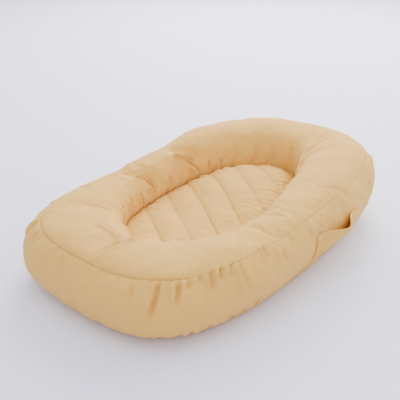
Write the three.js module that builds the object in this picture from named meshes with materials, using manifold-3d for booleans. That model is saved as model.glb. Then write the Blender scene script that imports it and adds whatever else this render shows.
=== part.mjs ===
// A baby lounger: a soft bolster ring round a quilted nest, in a removable cotton cover that
// closes with a zip underneath and has a carry strap on one long side.
// Millimetres. +Z up, +X towards the head end, -Y the long side with the strap.
// The origin is on the floor, under the middle of the whole lounger, strap included.
import * as THREE from "three";
import { mergeVertices } from "three/addons/utils/BufferGeometryUtils.js";
import Module from "manifold-3d";

// ---------------------------------------------------------------- driving dimensions
// Outline, seen from above
const LENGTH = 780;
const WIDTH = 490;
const OUTLINE_POWER = 2.96; // 2 is an ellipse, larger is squarer
const OUTLINE_TAPER = -0.05; // the head end is this share narrower, the foot end wider

// Bolster, in section
const FOOT_HEIGHT = 124;
const HEAD_HEIGHT = 156;
const FOOT_BOLSTER = 172; // width of the bolster at the foot end
const HEAD_BOLSTER = 152;
const SIDE_BOLSTER = 110;
const NEST_POWER = 2.3;
const BOLSTER_POWER = 2.5;
const BOLSTER_MIDDLE = 0.52; // height of the widest place, as a share of the bolster's height
const SETTLE = 6; // what the underside would bulge below the floor if it didn't flatten

// Cloth and the gaps between layers
const COVER_CLOTH = 1.2;
const CASING_CLOTH = 0.8;
const LAYER_GAP = 0.5;
const SEAM_GAP = 0.4;

// Underside and zip
const BASE_LIFT = 10; // the middle of the underside stands this far off the floor
const BASE_RAMP = 0.04; // where the lift is reached, as a share of the bolster's width
const ZIP_INSET = 23; // from the nest's foot edge to the zip's end
const ZIP_GAP = 1.2; // between the two rows of teeth, where the slider's web runs
const TEETH_WIDTH = 3;
const TEETH_HEIGHT = 2.4;
const TAPE_WIDTH = 9;
const TAPE_THICKNESS = 0.8;
const STOP_LENGTH = 4;
const SLIDER_LENGTH = 16;
const SLIDER_WIDTH = 9.6;
const SLIDER_PLATE = 1.3;
const SLIDER_WEB = 0.6;
const SLIDER_GAP = 0.3; // running gap round the teeth
const BAIL_WIDTH = 2;
const BAIL_LENGTH = 10.2;
const BAIL_THICKNESS = 1;
const BAIL_OPENING = 2.6; // height of the space that the pull's eye turns in
const PULL_LENGTH = 20;
const PULL_WIDTH = 8;
const PULL_THICKNESS = 1.2;
const PULL_EYE = 5.6; // length of the pull's window
const PULL_RAIL = 2; // width of the strips beside the window

// Care label
const LABEL_LENGTH = 38;
const LABEL_DROP = 40;
const LABEL_THICKNESS = 0.6;
const LABEL_FROM_END = 64; // from the zip's foot end to the middle of the label

// Centre pad
const PANEL_CROWN = 6;
const PAD_LIFT = 0.5; // gap over the zip slider

// Carry strap
const STRAP_X = 58; // middle of the strap along the near side
const STRAP_SPAN = 126;
const STRAP_WIDTH = 46;
const STRAP_THICKNESS = 2.6;
const STRAP_BOW = 34;
const STRAP_SKEW = 1.35; // above 1 the loop stands furthest out nearer the head end
const TAB_LENGTH = 22;

// Colours
const BEIGE = 0xdcc08f;
const BEIGE_TAPE = 0xd3b684;
const WHITE_CLOTH = 0xf1eee6;
const WHITE_FIBRE = 0xf7f6f2;
const BRASS = 0xc9a45c;

// ---------------------------------------------------------------- the bolster's shape
const STATIONS = 40; // sections round the ring, station 0 at the head end, then towards +Y
const HALF = STATIONS / 2;

// Places round the section, in degrees: 0 faces outwards, 90 up and 180 into the nest
const ROWS = [
  -60, -45, -30, -15, 0, 16, 32, 44, 54, 66, 78, 90, 103, 116, 130, 145, 160, 174, 187, 205, 225, 245,
  265, 282,
];
const ROW_COUNT = ROWS.length;
const BASE_SEAM = ROWS.indexOf(-60);
const OUTER_SEAM = ROWS.indexOf(0);
const SHOULDER_SEAM = ROWS.indexOf(54);
const NEST_SEAM = ROWS.indexOf(187);
const FLAT_EDGE = ROWS.indexOf(245);

const mod = (value, period) => ((value % period) + period) % period;
const signedPower = (value, power) => Math.sign(value) * Math.abs(value) ** power;
const spread = (t, power) =>
  (Math.abs(Math.cos(t)) ** power + Math.abs(Math.sin(t)) ** power) ** (-1 / power);

function outerEdge(t) {
  const k = spread(t, OUTLINE_POWER);
  const x = (LENGTH / 2) * Math.cos(t) * k;
  const y = (WIDTH / 2) * Math.sin(t) * k * (1 + (OUTLINE_TAPER * x) / (LENGTH / 2));
  return new THREE.Vector2(x, y);
}

const NEST_LENGTH = (LENGTH - FOOT_BOLSTER - HEAD_BOLSTER) / 2;
const NEST_WIDTH = WIDTH / 2 - SIDE_BOLSTER;
const NEST_X = (FOOT_BOLSTER - HEAD_BOLSTER) / 2;
const ZIP_LENGTH = 2 * (NEST_LENGTH - Math.abs(NEST_X) - ZIP_INSET);

function nestEdge(t) {
  const k = spread(t, NEST_POWER);
  return new THREE.Vector2(NEST_X + NEST_LENGTH * Math.cos(t) * k, NEST_WIDTH * Math.sin(t) * k);
}

const bolsterHeight = (x) => (FOOT_HEIGHT + HEAD_HEIGHT) / 2 + ((HEAD_HEIGHT - FOOT_HEIGHT) * x) / LENGTH;

// A point of one section: depth is measured inwards from the cover's outer face.
function sectionPoint(station, row, depth) {
  const t = (2 * Math.PI * mod(station, STATIONS)) / STATIONS;
  const outer = outerEdge(t);
  const inner = nestEdge(t);
  const height = bolsterHeight(outer.x);
  const middle = height * BOLSTER_MIDDLE;
  const angle = THREE.MathUtils.degToRad(ROWS[mod(row, ROW_COUNT)]);
  const across = signedPower(Math.cos(angle), 2 / BOLSTER_POWER);
  const up = signedPower(Math.sin(angle), 2 / BOLSTER_POWER);
  const share = 0.5 + (0.5 - depth / outer.distanceTo(inner)) * across;
  const z =
    up > 0
      ? middle + (height - middle - depth) * up
      : Math.max(depth, middle + (middle + SETTLE - depth) * up);
  const flat = inner.lerp(outer, share);
  return new THREE.Vector3(flat.x, flat.y, z);
}

// Any point of the faceted ring: fractions of a station or of a row lie on the straight facets
// between whole ones, so that layers nest at an even gap.
function ringPoint(station, row, depth) {
  const s = Math.floor(station);
  const r = Math.floor(row);
  const low = sectionPoint(s, r, depth).lerp(sectionPoint(s, r + 1, depth), row - r);
  if (station === s) return low;
  const high = sectionPoint(s + 1, r, depth).lerp(sectionPoint(s + 1, r + 1, depth), row - r);
  return low.lerp(high, station - s);
}

// A point at a share of the bolster's width, from the nest's edge outwards, at height z.
function footprintPoint(station, share, z) {
  const s = Math.floor(station);
  const at = (n) => {
    const t = (2 * Math.PI * mod(n, STATIONS)) / STATIONS;
    return nestEdge(t).lerp(outerEdge(t), share);
  };
  const flat = at(s).lerp(at(s + 1), station - s);
  return new THREE.Vector3(flat.x, flat.y, z);
}

// How many rows or stations a distance in millimetres is, beside a row or station.
const rowsFor = (distance, row) =>
  distance / sectionPoint(0, row, 0).distanceTo(sectionPoint(0, row + 1, 0));
const stationsFor = (distance, station) =>
  distance / footprintPoint(station, 0.5, 0).distanceTo(footprintPoint(station + 1, 0.5, 0));

// The station on the near long side whose outer edge is at x.
function nearStation(x) {
  let s = HALF;
  while (outerEdge((2 * Math.PI * (s + 1)) / STATIONS).x < x) s += 1;
  const low = outerEdge((2 * Math.PI * s) / STATIONS).x;
  const high = outerEdge((2 * Math.PI * (s + 1)) / STATIONS).x;
  return s + (x - low) / (high - low);
}

const range = (from, to) => Array.from({ length: to - from + 1 }, (_, i) => from + i);

// ---------------------------------------------------------------- closed solids from grids
const triangle = (out, a, b, c) => out.push(...a, ...b, ...c);

function quad(out, a, b, c, d) {
  triangle(out, a, b, c);
  triangle(out, a, c, d);
}

function geometryOf(out) {
  const geometry = new THREE.BufferGeometry();
  geometry.setAttribute("position", new THREE.Float32BufferAttribute(out, 3));
  geometry.computeVertexNormals();
  return geometry;
}

// grid[station][row], with rows turning the way ROWS does, gives faces that point outwards.
function surface(out, grid, { around = true, inwards = false } = {}) {
  const last = around ? grid.length : grid.length - 1;
  for (let i = 0; i < last; i += 1) {
    const here = grid[i];
    const next = grid[(i + 1) % grid.length];
    for (let j = 0; j + 1 < here.length; j += 1) {
      if (inwards) quad(out, here[j], here[j + 1], next[j + 1], next[j]);
      else quad(out, here[j], next[j], next[j + 1], here[j + 1]);
    }
  }
}

// A sheet with two faces. around: it closes on itself round the ring. spine: its last row is a
// line that both long sides share, so no wall is made there.
function sheet(outer, inner, { around = true, spine = false } = {}) {
  const out = [];
  surface(out, outer, { around });
  surface(out, inner, { around, inwards: true });
  const last = around ? outer.length : outer.length - 1;
  const end = outer[0].length - 1;
  for (let i = 0; i < last; i += 1) {
    const n = (i + 1) % outer.length;
    quad(out, inner[i][0], inner[n][0], outer[n][0], outer[i][0]);
    if (!spine) quad(out, outer[i][end], outer[n][end], inner[n][end], inner[i][end]);
  }
  if (!around) {
    for (let j = 0; j < end; j += 1) {
      quad(out, outer[0][j], outer[0][j + 1], inner[0][j + 1], inner[0][j]);
      quad(out, outer[last][j], inner[last][j], inner[last][j + 1], outer[last][j + 1]);
    }
  }
  return geometryOf(out);
}

// Part of the ring as a sheet, between two depths.
function ringSheet(rows, depth, thickness) {
  const stations = range(0, STATIONS - 1);
  const at = (d) => stations.map((s) => rows.map((r) => ringPoint(s, r, d)));
  return sheet(at(depth), at(depth + thickness));
}

// A solid stretch of the ring with flat ends, on every second row.
function ringBlock(stations, depth) {
  const rows = range(0, ROW_COUNT / 2).map((n) => 2 * n);
  const grid = stations.map((s) => rows.map((r) => ringPoint(s, r, depth)));
  const out = [];
  surface(out, grid, { around: false });
  const first = grid[0];
  const end = grid[grid.length - 1];
  for (let j = 1; j + 2 < rows.length; j += 1) {
    triangle(out, first[0], first[j], first[j + 1]);
    triangle(out, end[0], end[j + 1], end[j]);
  }
  return geometryOf(out);
}

// ---------------------------------------------------------------- booleans
const wasm = await Module();
wasm.setup();

function solid(geometry) {
  const bare = geometry.clone();
  bare.deleteAttribute("normal");
  bare.deleteAttribute("uv");
  const merged = mergeVertices(bare, 1e-4);
  return new wasm.Manifold(
    new wasm.Mesh({
      numProp: 3,
      vertProperties: merged.attributes.position.array,
      triVerts: new Uint32Array(merged.index.array),
    }),
  );
}

function geometryOfSolid(body) {
  const mesh = body.getMesh();
  const geometry = new THREE.BufferGeometry();
  geometry.setAttribute("position", new THREE.BufferAttribute(mesh.vertProperties, 3));
  geometry.setIndex(new THREE.BufferAttribute(mesh.triVerts, 1));
  const flat = geometry.toNonIndexed();
  flat.computeVertexNormals();
  return flat;
}

// A box between two corners.
function block(low, high) {
  const size = high.map((v, i) => v - low[i]);
  return new THREE.BoxGeometry(...size).translate(...low.map((v, i) => v + size[i] / 2));
}

// ---------------------------------------------------------------- assembly
const lounger = new THREE.Group();

function add(name, geometry, color, { roughness = 0.9, metalness = 0 } = {}) {
  const material = new THREE.MeshStandardMaterial({ color, roughness, metalness });
  const mesh = new THREE.Mesh(geometry, material);
  mesh.name = name;
  lounger.add(mesh);
  return mesh;
}

// ---- cover: side band, rim panel
const seamRows = (from, to) => [
  from + rowsFor(SEAM_GAP / 2, from),
  ...range(from + 1, to - 1),
  to - rowsFor(SEAM_GAP / 2, to - 1),
];

add("side_band", ringSheet(seamRows(BASE_SEAM, SHOULDER_SEAM), 0, COVER_CLOTH), BEIGE);
add("rim_panel", ringSheet(seamRows(SHOULDER_SEAM, NEST_SEAM), 0, COVER_CLOTH), BEIGE);

// ---- zip heights, from the base cloth's middle
const ZIP_Z = BASE_LIFT + COVER_CLOTH / 2;
const TEETH_OUT = ZIP_GAP / 2 + TEETH_WIDTH;
const TAPE_IN = TEETH_OUT + SLIDER_GAP;
const TAPE_OUT = TAPE_IN + TAPE_WIDTH;
const SLIDER_TOP = ZIP_Z + TEETH_HEIGHT / 2 + SLIDER_GAP + SLIDER_PLATE;
const SLIDER_BOTTOM = ZIP_Z - TEETH_HEIGHT / 2 - SLIDER_GAP - SLIDER_PLATE;

// ---- cover: base panels, one on each side of the zip (side is -1 near, 1 far)
function basePanel(side) {
  const shift = stationsFor(SEAM_GAP / 2, HALF);
  const corner = 0.3; // of a station, where the panel's edge turns along the zip
  const from = side < 0 ? HALF : 0;
  const stations = [
    from + shift,
    from + corner,
    ...range(from + 1, from + HALF - 1),
    from + HALF - corner,
    from + HALF - shift,
  ];
  const last = stations.length - 1;
  const zipEnd = ZIP_LENGTH / 2 + SEAM_GAP;
  const zipEdge = stations.map((_, i) => {
    const along = THREE.MathUtils.clamp((i - 1) / (last - 2), 0, 1);
    const atEnd = i === 0 || i === last;
    const x = side * zipEnd * (1 - 2 * along);
    return [x, side * (atEnd ? SEAM_GAP / 2 : TAPE_OUT + SEAM_GAP)];
  });
  const seam = rowsFor(SEAM_GAP / 2, ROW_COUNT - 1);
  const rows = [...range(FLAT_EDGE, ROW_COUNT - 1), ROW_COUNT - seam];
  const at = (lift) =>
    stations.map((s, i) => [
      new THREE.Vector3(...zipEdge[i], BASE_LIFT + lift),
      footprintPoint(s, BASE_RAMP, BASE_LIFT + lift),
      ...rows.map((r) => ringPoint(s, r, lift)),
    ]);
  return sheet(at(0), at(COVER_CLOTH), { around: false });
}

add("base_panel_near", basePanel(-1), BEIGE);
add("base_panel_far", basePanel(1), BEIGE);

// ---- zip: tapes, teeth and stops
const TEETH_LENGTH = ZIP_LENGTH - 2 * (STOP_LENGTH + SLIDER_GAP);
for (const [side, word] of [
  [-1, "near"],
  [1, "far"],
]) {
  const span = (from, to) => (side < 0 ? [-to, -from] : [from, to]);
  const [tapeLow, tapeHigh] = span(TAPE_IN, TAPE_OUT);
  const [teethLow, teethHigh] = span(ZIP_GAP / 2, TEETH_OUT);
  add(
    `zip_tape_${word}`,
    block(
      [-ZIP_LENGTH / 2, tapeLow, ZIP_Z - TAPE_THICKNESS / 2],
      [ZIP_LENGTH / 2, tapeHigh, ZIP_Z + TAPE_THICKNESS / 2],
    ),
    BEIGE_TAPE,
  );
  add(
    `zip_teeth_${word}`,
    block(
      [-TEETH_LENGTH / 2, teethLow, ZIP_Z - TEETH_HEIGHT / 2],
      [TEETH_LENGTH / 2, teethHigh, ZIP_Z + TEETH_HEIGHT / 2],
    ),
    BEIGE_TAPE,
    { roughness: 0.5 },
  );
}
for (const [end, word] of [
  [-1, "foot"],
  [1, "head"],
]) {
  const x = end * (ZIP_LENGTH / 2 - STOP_LENGTH / 2);
  add(
    `zip_stop_${word}`,
    new THREE.BoxGeometry(STOP_LENGTH, 2 * TEETH_OUT, TEETH_HEIGHT).translate(x, 0, ZIP_Z),
    BRASS,
    { roughness: 0.35, metalness: 1 },
  );
}

// ---- zip slider: two plates joined by a web between the rows of teeth, with a bail underneath
const SLIDER_X = TEETH_LENGTH / 2 - SLIDER_LENGTH / 2 - SLIDER_GAP; // closed, at the head end
const EYE_Z = SLIDER_BOTTOM - BAIL_OPENING / 2; // the pull turns about Y here

function sliderBody() {
  const x0 = SLIDER_X - SLIDER_LENGTH / 2;
  const x1 = SLIDER_X + SLIDER_LENGTH / 2;
  const y = SLIDER_WIDTH / 2;
  const webHalf = SLIDER_LENGTH / 4;
  const barTop = SLIDER_BOTTOM - BAIL_OPENING;
  const barLow = barTop - BAIL_THICKNESS;
  const bailHalf = BAIL_LENGTH / 2;
  const blocks = [
    block([x0, -y, SLIDER_TOP - SLIDER_PLATE], [x1, y, SLIDER_TOP]),
    block(
      [SLIDER_X - webHalf, -SLIDER_WEB / 2, SLIDER_BOTTOM],
      [SLIDER_X + webHalf, SLIDER_WEB / 2, SLIDER_TOP],
    ),
    block(
      [SLIDER_X - bailHalf, -BAIL_WIDTH / 2, barLow],
      [SLIDER_X + bailHalf, BAIL_WIDTH / 2, barTop],
    ),
  ];
  for (const end of [-1, 1]) {
    const post = SLIDER_X + end * (bailHalf - BAIL_THICKNESS / 2);
    blocks.push(
      block(
        [post - BAIL_THICKNESS / 2, -BAIL_WIDTH / 2, barLow],
        [post + BAIL_THICKNESS / 2, BAIL_WIDTH / 2, SLIDER_BOTTOM + SLIDER_PLATE / 2],
      ),
    );
  }
  const plate = solid(block([x0, -y, SLIDER_BOTTOM], [x1, y, SLIDER_BOTTOM + SLIDER_PLATE]));
  return geometryOfSolid(blocks.reduce((body, piece) => body.add(solid(piece)), plate));
}

// ---- zip pull: a flat tab with a window that the bail passes through
function pullTab() {
  const strip = PULL_THICKNESS / 2;
  const outline = new THREE.Shape();
  const half = PULL_WIDTH / 2;
  const end = PULL_LENGTH - half;
  outline.moveTo(-strip, -half);
  outline.lineTo(end, -half);
  outline.absarc(end, 0, half, -Math.PI / 2, Math.PI / 2);
  outline.lineTo(-strip, half);
  outline.closePath();
  const eye = new THREE.Path();
  const side = half - PULL_RAIL;
  eye.moveTo(strip, -side);
  eye.lineTo(strip, side);
  eye.lineTo(strip + PULL_EYE, side);
  eye.lineTo(strip + PULL_EYE, -side);
  eye.closePath();
  outline.holes.push(eye);
  const tab = new THREE.ExtrudeGeometry(outline, {
    depth: PULL_THICKNESS,
    bevelEnabled: false,
    curveSegments: 10,
  });
  return tab.translate(0, 0, -PULL_THICKNESS / 2).rotateZ(Math.PI);
}

const metal = { roughness: 0.35, metalness: 1 };
add("zip_slider", sliderBody(), BRASS, metal);
add("zip_pull", pullTab(), BRASS, metal).position.set(SLIDER_X, 0, EYE_Z);

// ---- blank care label, sewn into the zip seam and lying under the far base panel
const LABEL_X = LABEL_FROM_END - ZIP_LENGTH / 2;
add(
  "care_label",
  block(
    [LABEL_X - LABEL_LENGTH / 2, TAPE_OUT, BASE_LIFT - SEAM_GAP - LABEL_THICKNESS],
    [LABEL_X + LABEL_LENGTH / 2, TAPE_OUT + LABEL_DROP, BASE_LIFT - SEAM_GAP],
  ),
  WHITE_CLOTH,
);

// ---- cover: centre panel, and the pad under it
const SPINE = NEST_LENGTH - NEST_WIDTH; // half length of the oval's middle line
const seamPoint = (station, depth) => sectionPoint(station, NEST_SEAM, depth);
const PANEL_SHARES = [1, 0.9, 0.7, 0.4, 0]; // from the edge to the middle line

// One row of the oval: share 1 is its edge, 0 its middle line; drop is below the nest seam.
function ovalRow(station, share, depth, drop) {
  const edge = seamPoint(station, depth);
  const mirrored = Math.min(station, STATIONS - station);
  const turn = (2 * Math.PI * mirrored) / STATIONS;
  const footZ = seamPoint(HALF, 0).z;
  const headZ = seamPoint(0, 0).z;
  const along = (1 + Math.cos(turn) * (SPINE / NEST_LENGTH)) / 2;
  const middle = new THREE.Vector3(NEST_X + SPINE * Math.cos(turn), 0, footZ + (headZ - footZ) * along);
  const point = middle.lerp(edge, share);
  point.z += PANEL_CROWN * (1 - share * share) - drop;
  return point;
}

const everyStation = range(0, STATIONS - 1);

function centrePanel() {
  const at = (drop) =>
    everyStation.map((s) => PANEL_SHARES.map((share) => ovalRow(s, share, COVER_CLOTH, drop)));
  return sheet(at(SEAM_GAP), at(SEAM_GAP + COVER_CLOTH), { spine: true });
}

const PANEL_DROP = SEAM_GAP + COVER_CLOTH;
const CASING_DROP = PANEL_DROP + LAYER_GAP;
const FILL_DROP = CASING_DROP + CASING_CLOTH + LAYER_GAP;
const RING_CASING = COVER_CLOTH + LAYER_GAP; // depth of the ring casing's outer face
const PAD_WALL = RING_CASING - LAYER_GAP; // depth of the pad's side wall, where deeper is wider
const PAD_BOTTOM = SLIDER_TOP + PAD_LIFT;

function padCasingTop() {
  const low = PAD_BOTTOM + CASING_CLOTH + SEAM_GAP;
  const wall = (s, depth) => {
    const point = seamPoint(s, depth);
    point.z = low;
    return point;
  };
  const at = (depth, drop) =>
    everyStation.map((s) => [wall(s, depth), ...PANEL_SHARES.map((h) => ovalRow(s, h, depth, drop))]);
  const inner = at(PAD_WALL - CASING_CLOTH, CASING_DROP + CASING_CLOTH);
  return sheet(at(PAD_WALL, CASING_DROP), inner, { spine: true });
}

// A flat oval row at height z.
const levelRow = (station, share, depth, z) => ovalRow(station, share, depth, 0).setZ(z);

function padCasingBase() {
  const at = (z) => everyStation.map((s) => [0, 0.5, 1].map((share) => levelRow(s, share, PAD_WALL, z)));
  const out = [];
  const low = at(PAD_BOTTOM);
  const high = at(PAD_BOTTOM + CASING_CLOTH);
  surface(out, low);
  surface(out, high, { inwards: true });
  low.forEach((row, i) => {
    const n = (i + 1) % STATIONS;
    quad(out, row[2], low[n][2], high[n][2], high[i][2]);
  });
  return geometryOf(out);
}

function padFill() {
  const low = PAD_BOTTOM + CASING_CLOTH + LAYER_GAP;
  const depth = PAD_WALL - CASING_CLOTH - LAYER_GAP;
  const out = [];
  surface(
    out,
    everyStation.map((s) => [
      levelRow(s, 0, depth, low),
      levelRow(s, 1, depth, low),
      ...PANEL_SHARES.map((share) => ovalRow(s, share, depth, FILL_DROP)),
    ]),
  );
  return geometryOf(out);
}

add("centre_panel", centrePanel(), BEIGE);
add("pad_casing_top", padCasingTop(), WHITE_CLOTH);
add("pad_casing_base", padCasingBase(), WHITE_CLOTH);
add("pad_fill", padFill(), WHITE_FIBRE);

// ---- insert: casing of the ring, in two halves sewn at the outside and at the nest
const evenRows = (from, to) => [
  from + rowsFor(SEAM_GAP / 2, from),
  ...range(from / 2 + 1, to / 2 - 1).map((n) => 2 * n),
  to - rowsFor(SEAM_GAP / 2, to - 1),
];

add(
  "insert_casing_top",
  ringSheet(evenRows(OUTER_SEAM, NEST_SEAM), RING_CASING, CASING_CLOTH),
  WHITE_CLOTH,
);
add(
  "insert_casing_base",
  ringSheet(evenRows(NEST_SEAM, OUTER_SEAM + ROW_COUNT), RING_CASING, CASING_CLOTH),
  WHITE_CLOTH,
);

// ---- insert: baffles across the ring, and a chamber of fibre between each two of them
const FILL_DEPTH = RING_CASING + CASING_CLOTH + LAYER_GAP;
const BAFFLES = [
  [0, "head"],
  [5, "head_far_corner"],
  [9, "far_head"],
  [11, "far_foot"],
  [15, "foot_far_corner"],
  [20, "foot"],
  [25, "foot_near_corner"],
  [29, "near_foot"],
  [31, "near_head"],
  [35, "head_near_corner"],
];
const CHAMBERS = [
  "head_far",
  "far_head",
  "far_middle",
  "far_foot",
  "foot_far",
  "foot_near",
  "near_foot",
  "near_middle",
  "near_head",
  "head_near",
];

BAFFLES.forEach(([station, word], i) => {
  const half = stationsFor(CASING_CLOTH / 2, station);
  const gap = stationsFor(CASING_CLOTH / 2 + LAYER_GAP, station);
  const next = i + 1 < BAFFLES.length ? BAFFLES[i + 1][0] : STATIONS;
  const nextGap = stationsFor(CASING_CLOTH / 2 + LAYER_GAP, next - 1);
  add(`baffle_${word}`, ringBlock([station - half, station, station + half], FILL_DEPTH), WHITE_CLOTH);
  const along = [station + gap, ...range(station + 1, next - 1), next - nextGap];
  add(`fill_${CHAMBERS[i]}`, ringBlock(along, FILL_DEPTH), WHITE_FIBRE);
});

// ---- carry strap: two ends sewn flat on the side band, and the loop between them
const STRAP_DEPTH = SEAM_GAP + STRAP_THICKNESS; // how far the strap's outer face stands off
const strapHalf = rowsFor(STRAP_WIDTH / 2, OUTER_SEAM);
const strapRows = [OUTER_SEAM - strapHalf, OUTER_SEAM, OUTER_SEAM + strapHalf];

function strapTab(xLow, xHigh) {
  const stations = [nearStation(xLow), nearStation(xHigh)];
  const middle = Math.ceil(stations[0]);
  if (middle < stations[1]) stations.splice(1, 0, middle);
  const at = (d) => stations.map((s) => strapRows.map((r) => ringPoint(s, r, d)));
  return sheet(at(-STRAP_DEPTH), at(-SEAM_GAP), { around: false });
}

const STRAP_STEPS = 20;

// The loop's inner or outer face: it leaves the band flat and bows out by STRAP_BOW.
function strapFace(off) {
  const low = STRAP_X - STRAP_SPAN / 2;
  return range(0, STRAP_STEPS).map((n) => {
    const p = n / STRAP_STEPS;
    const x = low + STRAP_SPAN * p;
    const turn = 2 * Math.PI * p ** STRAP_SKEW;
    const turnRate = 2 * Math.PI * STRAP_SKEW * p ** (STRAP_SKEW - 1);
    const bow = (STRAP_BOW * (1 - Math.cos(turn))) / 2;
    const slope = (STRAP_BOW * Math.sin(turn) * turnRate) / (2 * STRAP_SPAN);
    const normal = new THREE.Vector2(-slope, -1).normalize();
    return strapRows.map((row) => {
      const point = ringPoint(nearStation(x), row, -SEAM_GAP);
      point.y -= bow;
      point.x += normal.x * off;
      point.y += normal.y * off;
      return point;
    });
  });
}

const STRAP_LOW = STRAP_X - STRAP_SPAN / 2 - SEAM_GAP;
const STRAP_HIGH = STRAP_X + STRAP_SPAN / 2 + SEAM_GAP;
add("strap_end_foot", strapTab(STRAP_LOW - TAB_LENGTH, STRAP_LOW), BEIGE);
add("strap_end_head", strapTab(STRAP_HIGH, STRAP_HIGH + TAB_LENGTH), BEIGE);
add("carry_strap", sheet(strapFace(STRAP_THICKNESS), strapFace(0), { around: false }), BEIGE);

// ---- origin: on the floor, under the middle of everything
const box = new THREE.Box3().setFromObject(lounger);
const centre = box.getCenter(new THREE.Vector3());
lounger.position.set(-centre.x, -centre.y, -box.min.z);

export default lounger;
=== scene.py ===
"""A baby lounger: the cover, its filling and its zip, built round the packed frame.

Run as a script, it makes every piece in turn. Its sizes and colours are add-on properties, and
each piece, or group of like pieces, is one operator in the sidebar's Lounger tab.
"""

import math

import bpy
import numpy as np
from bpy.props import FloatProperty, FloatVectorProperty, IntProperty, PointerProperty
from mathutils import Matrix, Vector


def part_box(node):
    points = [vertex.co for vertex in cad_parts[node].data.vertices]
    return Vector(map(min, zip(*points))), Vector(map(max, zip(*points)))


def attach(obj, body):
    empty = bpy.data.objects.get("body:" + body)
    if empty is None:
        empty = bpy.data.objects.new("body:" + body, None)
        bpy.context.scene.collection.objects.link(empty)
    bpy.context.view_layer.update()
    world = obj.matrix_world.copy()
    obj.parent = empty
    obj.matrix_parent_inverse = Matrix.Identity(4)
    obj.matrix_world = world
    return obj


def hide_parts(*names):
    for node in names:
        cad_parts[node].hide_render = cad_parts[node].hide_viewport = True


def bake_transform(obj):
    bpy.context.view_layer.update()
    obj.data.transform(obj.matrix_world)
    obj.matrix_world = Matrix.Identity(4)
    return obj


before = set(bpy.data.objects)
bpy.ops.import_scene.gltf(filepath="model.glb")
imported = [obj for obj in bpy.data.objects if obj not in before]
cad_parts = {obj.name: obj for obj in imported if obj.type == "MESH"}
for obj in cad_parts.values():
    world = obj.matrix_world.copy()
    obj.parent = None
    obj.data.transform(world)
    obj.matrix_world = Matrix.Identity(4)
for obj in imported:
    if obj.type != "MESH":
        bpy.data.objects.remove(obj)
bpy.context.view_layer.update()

bl_info = {
    "name": "Baby lounger",
    "version": (1, 0, 0),
    "blender": (4, 5, 0),
    "location": "3D View > Sidebar > Lounger",
    "description": "Builds a soft baby lounger with a zip-off cover round its packed frame",
    "category": "Mesh",
}

MM = 0.001

# ------------------------------------------------------------------ places from the frame
BAND_LOW, BAND_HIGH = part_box("side_band")
RING_CENTRE = (BAND_LOW + BAND_HIGH) / 2
STRAP_LOW, STRAP_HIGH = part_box("carry_strap")
TAB_FOOT_LOW, TAB_FOOT_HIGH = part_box("strap_end_foot")
TAB_HEAD_LOW, TAB_HEAD_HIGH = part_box("strap_end_head")
TAPE_LOW, TAPE_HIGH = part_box("zip_tape_far")
BASE_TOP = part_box("base_panel_far")[1].z

# Angles round the bolster's section, in degrees: 0 faces outwards, 90 up, 180 into the nest
BASE_SEAM = -60
SHOULDER_SEAM = 54
NEST_SEAM = 187

# Rows of faces between the seams, and stations round the ring
BAND_ROWS = 44
RIM_ROWS = 60
INNER_ROWS = 40
STATIONS = 720
COARSE = (3, 2)  # the simulation takes every third station and every second row


# ------------------------------------------------------------------ settings
class LoungerShape(bpy.types.PropertyGroup):
    """The bolster ring's form"""

    length: FloatProperty(
        name="Length", description="Length of the ring, head to foot", unit="LENGTH",
        default=BAND_HIGH.x - BAND_LOW.x)
    width: FloatProperty(
        name="Width", description="Width of the ring without the strap", unit="LENGTH",
        default=0.49)
    outline_power: FloatProperty(
        name="Outline squareness", description="2 is an ellipse, larger is squarer", default=2.96)
    outline_taper: FloatProperty(
        name="Outline taper", description="Share by which the head end is narrower", default=-0.05)
    foot_height: FloatProperty(
        name="Foot height", description="Height of the bolster at the foot", unit="LENGTH",
        default=0.124)
    head_height: FloatProperty(
        name="Head height", description="Height of the bolster at the head", unit="LENGTH",
        default=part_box("rim_panel")[1].z)
    foot_bolster: FloatProperty(
        name="Foot bolster", description="Width of the bolster at the foot", unit="LENGTH",
        default=0.172)
    head_bolster: FloatProperty(
        name="Head bolster", description="Width of the bolster at the head", unit="LENGTH",
        default=0.152)
    side_bolster: FloatProperty(
        name="Side bolster", description="Width of the bolster at the sides", unit="LENGTH",
        default=0.110)
    nest_power: FloatProperty(
        name="Nest squareness", description="2 is an ellipse, larger is squarer", default=2.3)
    section_power: FloatProperty(
        name="Section squareness", description="2 is round, larger is squarer", default=2.5)
    section_middle: FloatProperty(
        name="Widest height", description="Height of the widest place, as a share", default=0.52)
    lean: FloatProperty(
        name="Lean", description="How far the near side hangs over the nest", unit="LENGTH",
        default=0.032)
    tuck: FloatProperty(
        name="Tuck", description="How far the near side is tucked in underneath", unit="LENGTH",
        default=0.012)
    slim: FloatProperty(
        name="Slim", description="How much slimmer and lower the far side is towards the foot",
        unit="LENGTH", default=0.015)
    settle: FloatProperty(
        name="Settle", description="How far the underside would bulge below the floor",
        unit="LENGTH", default=0.006)


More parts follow.
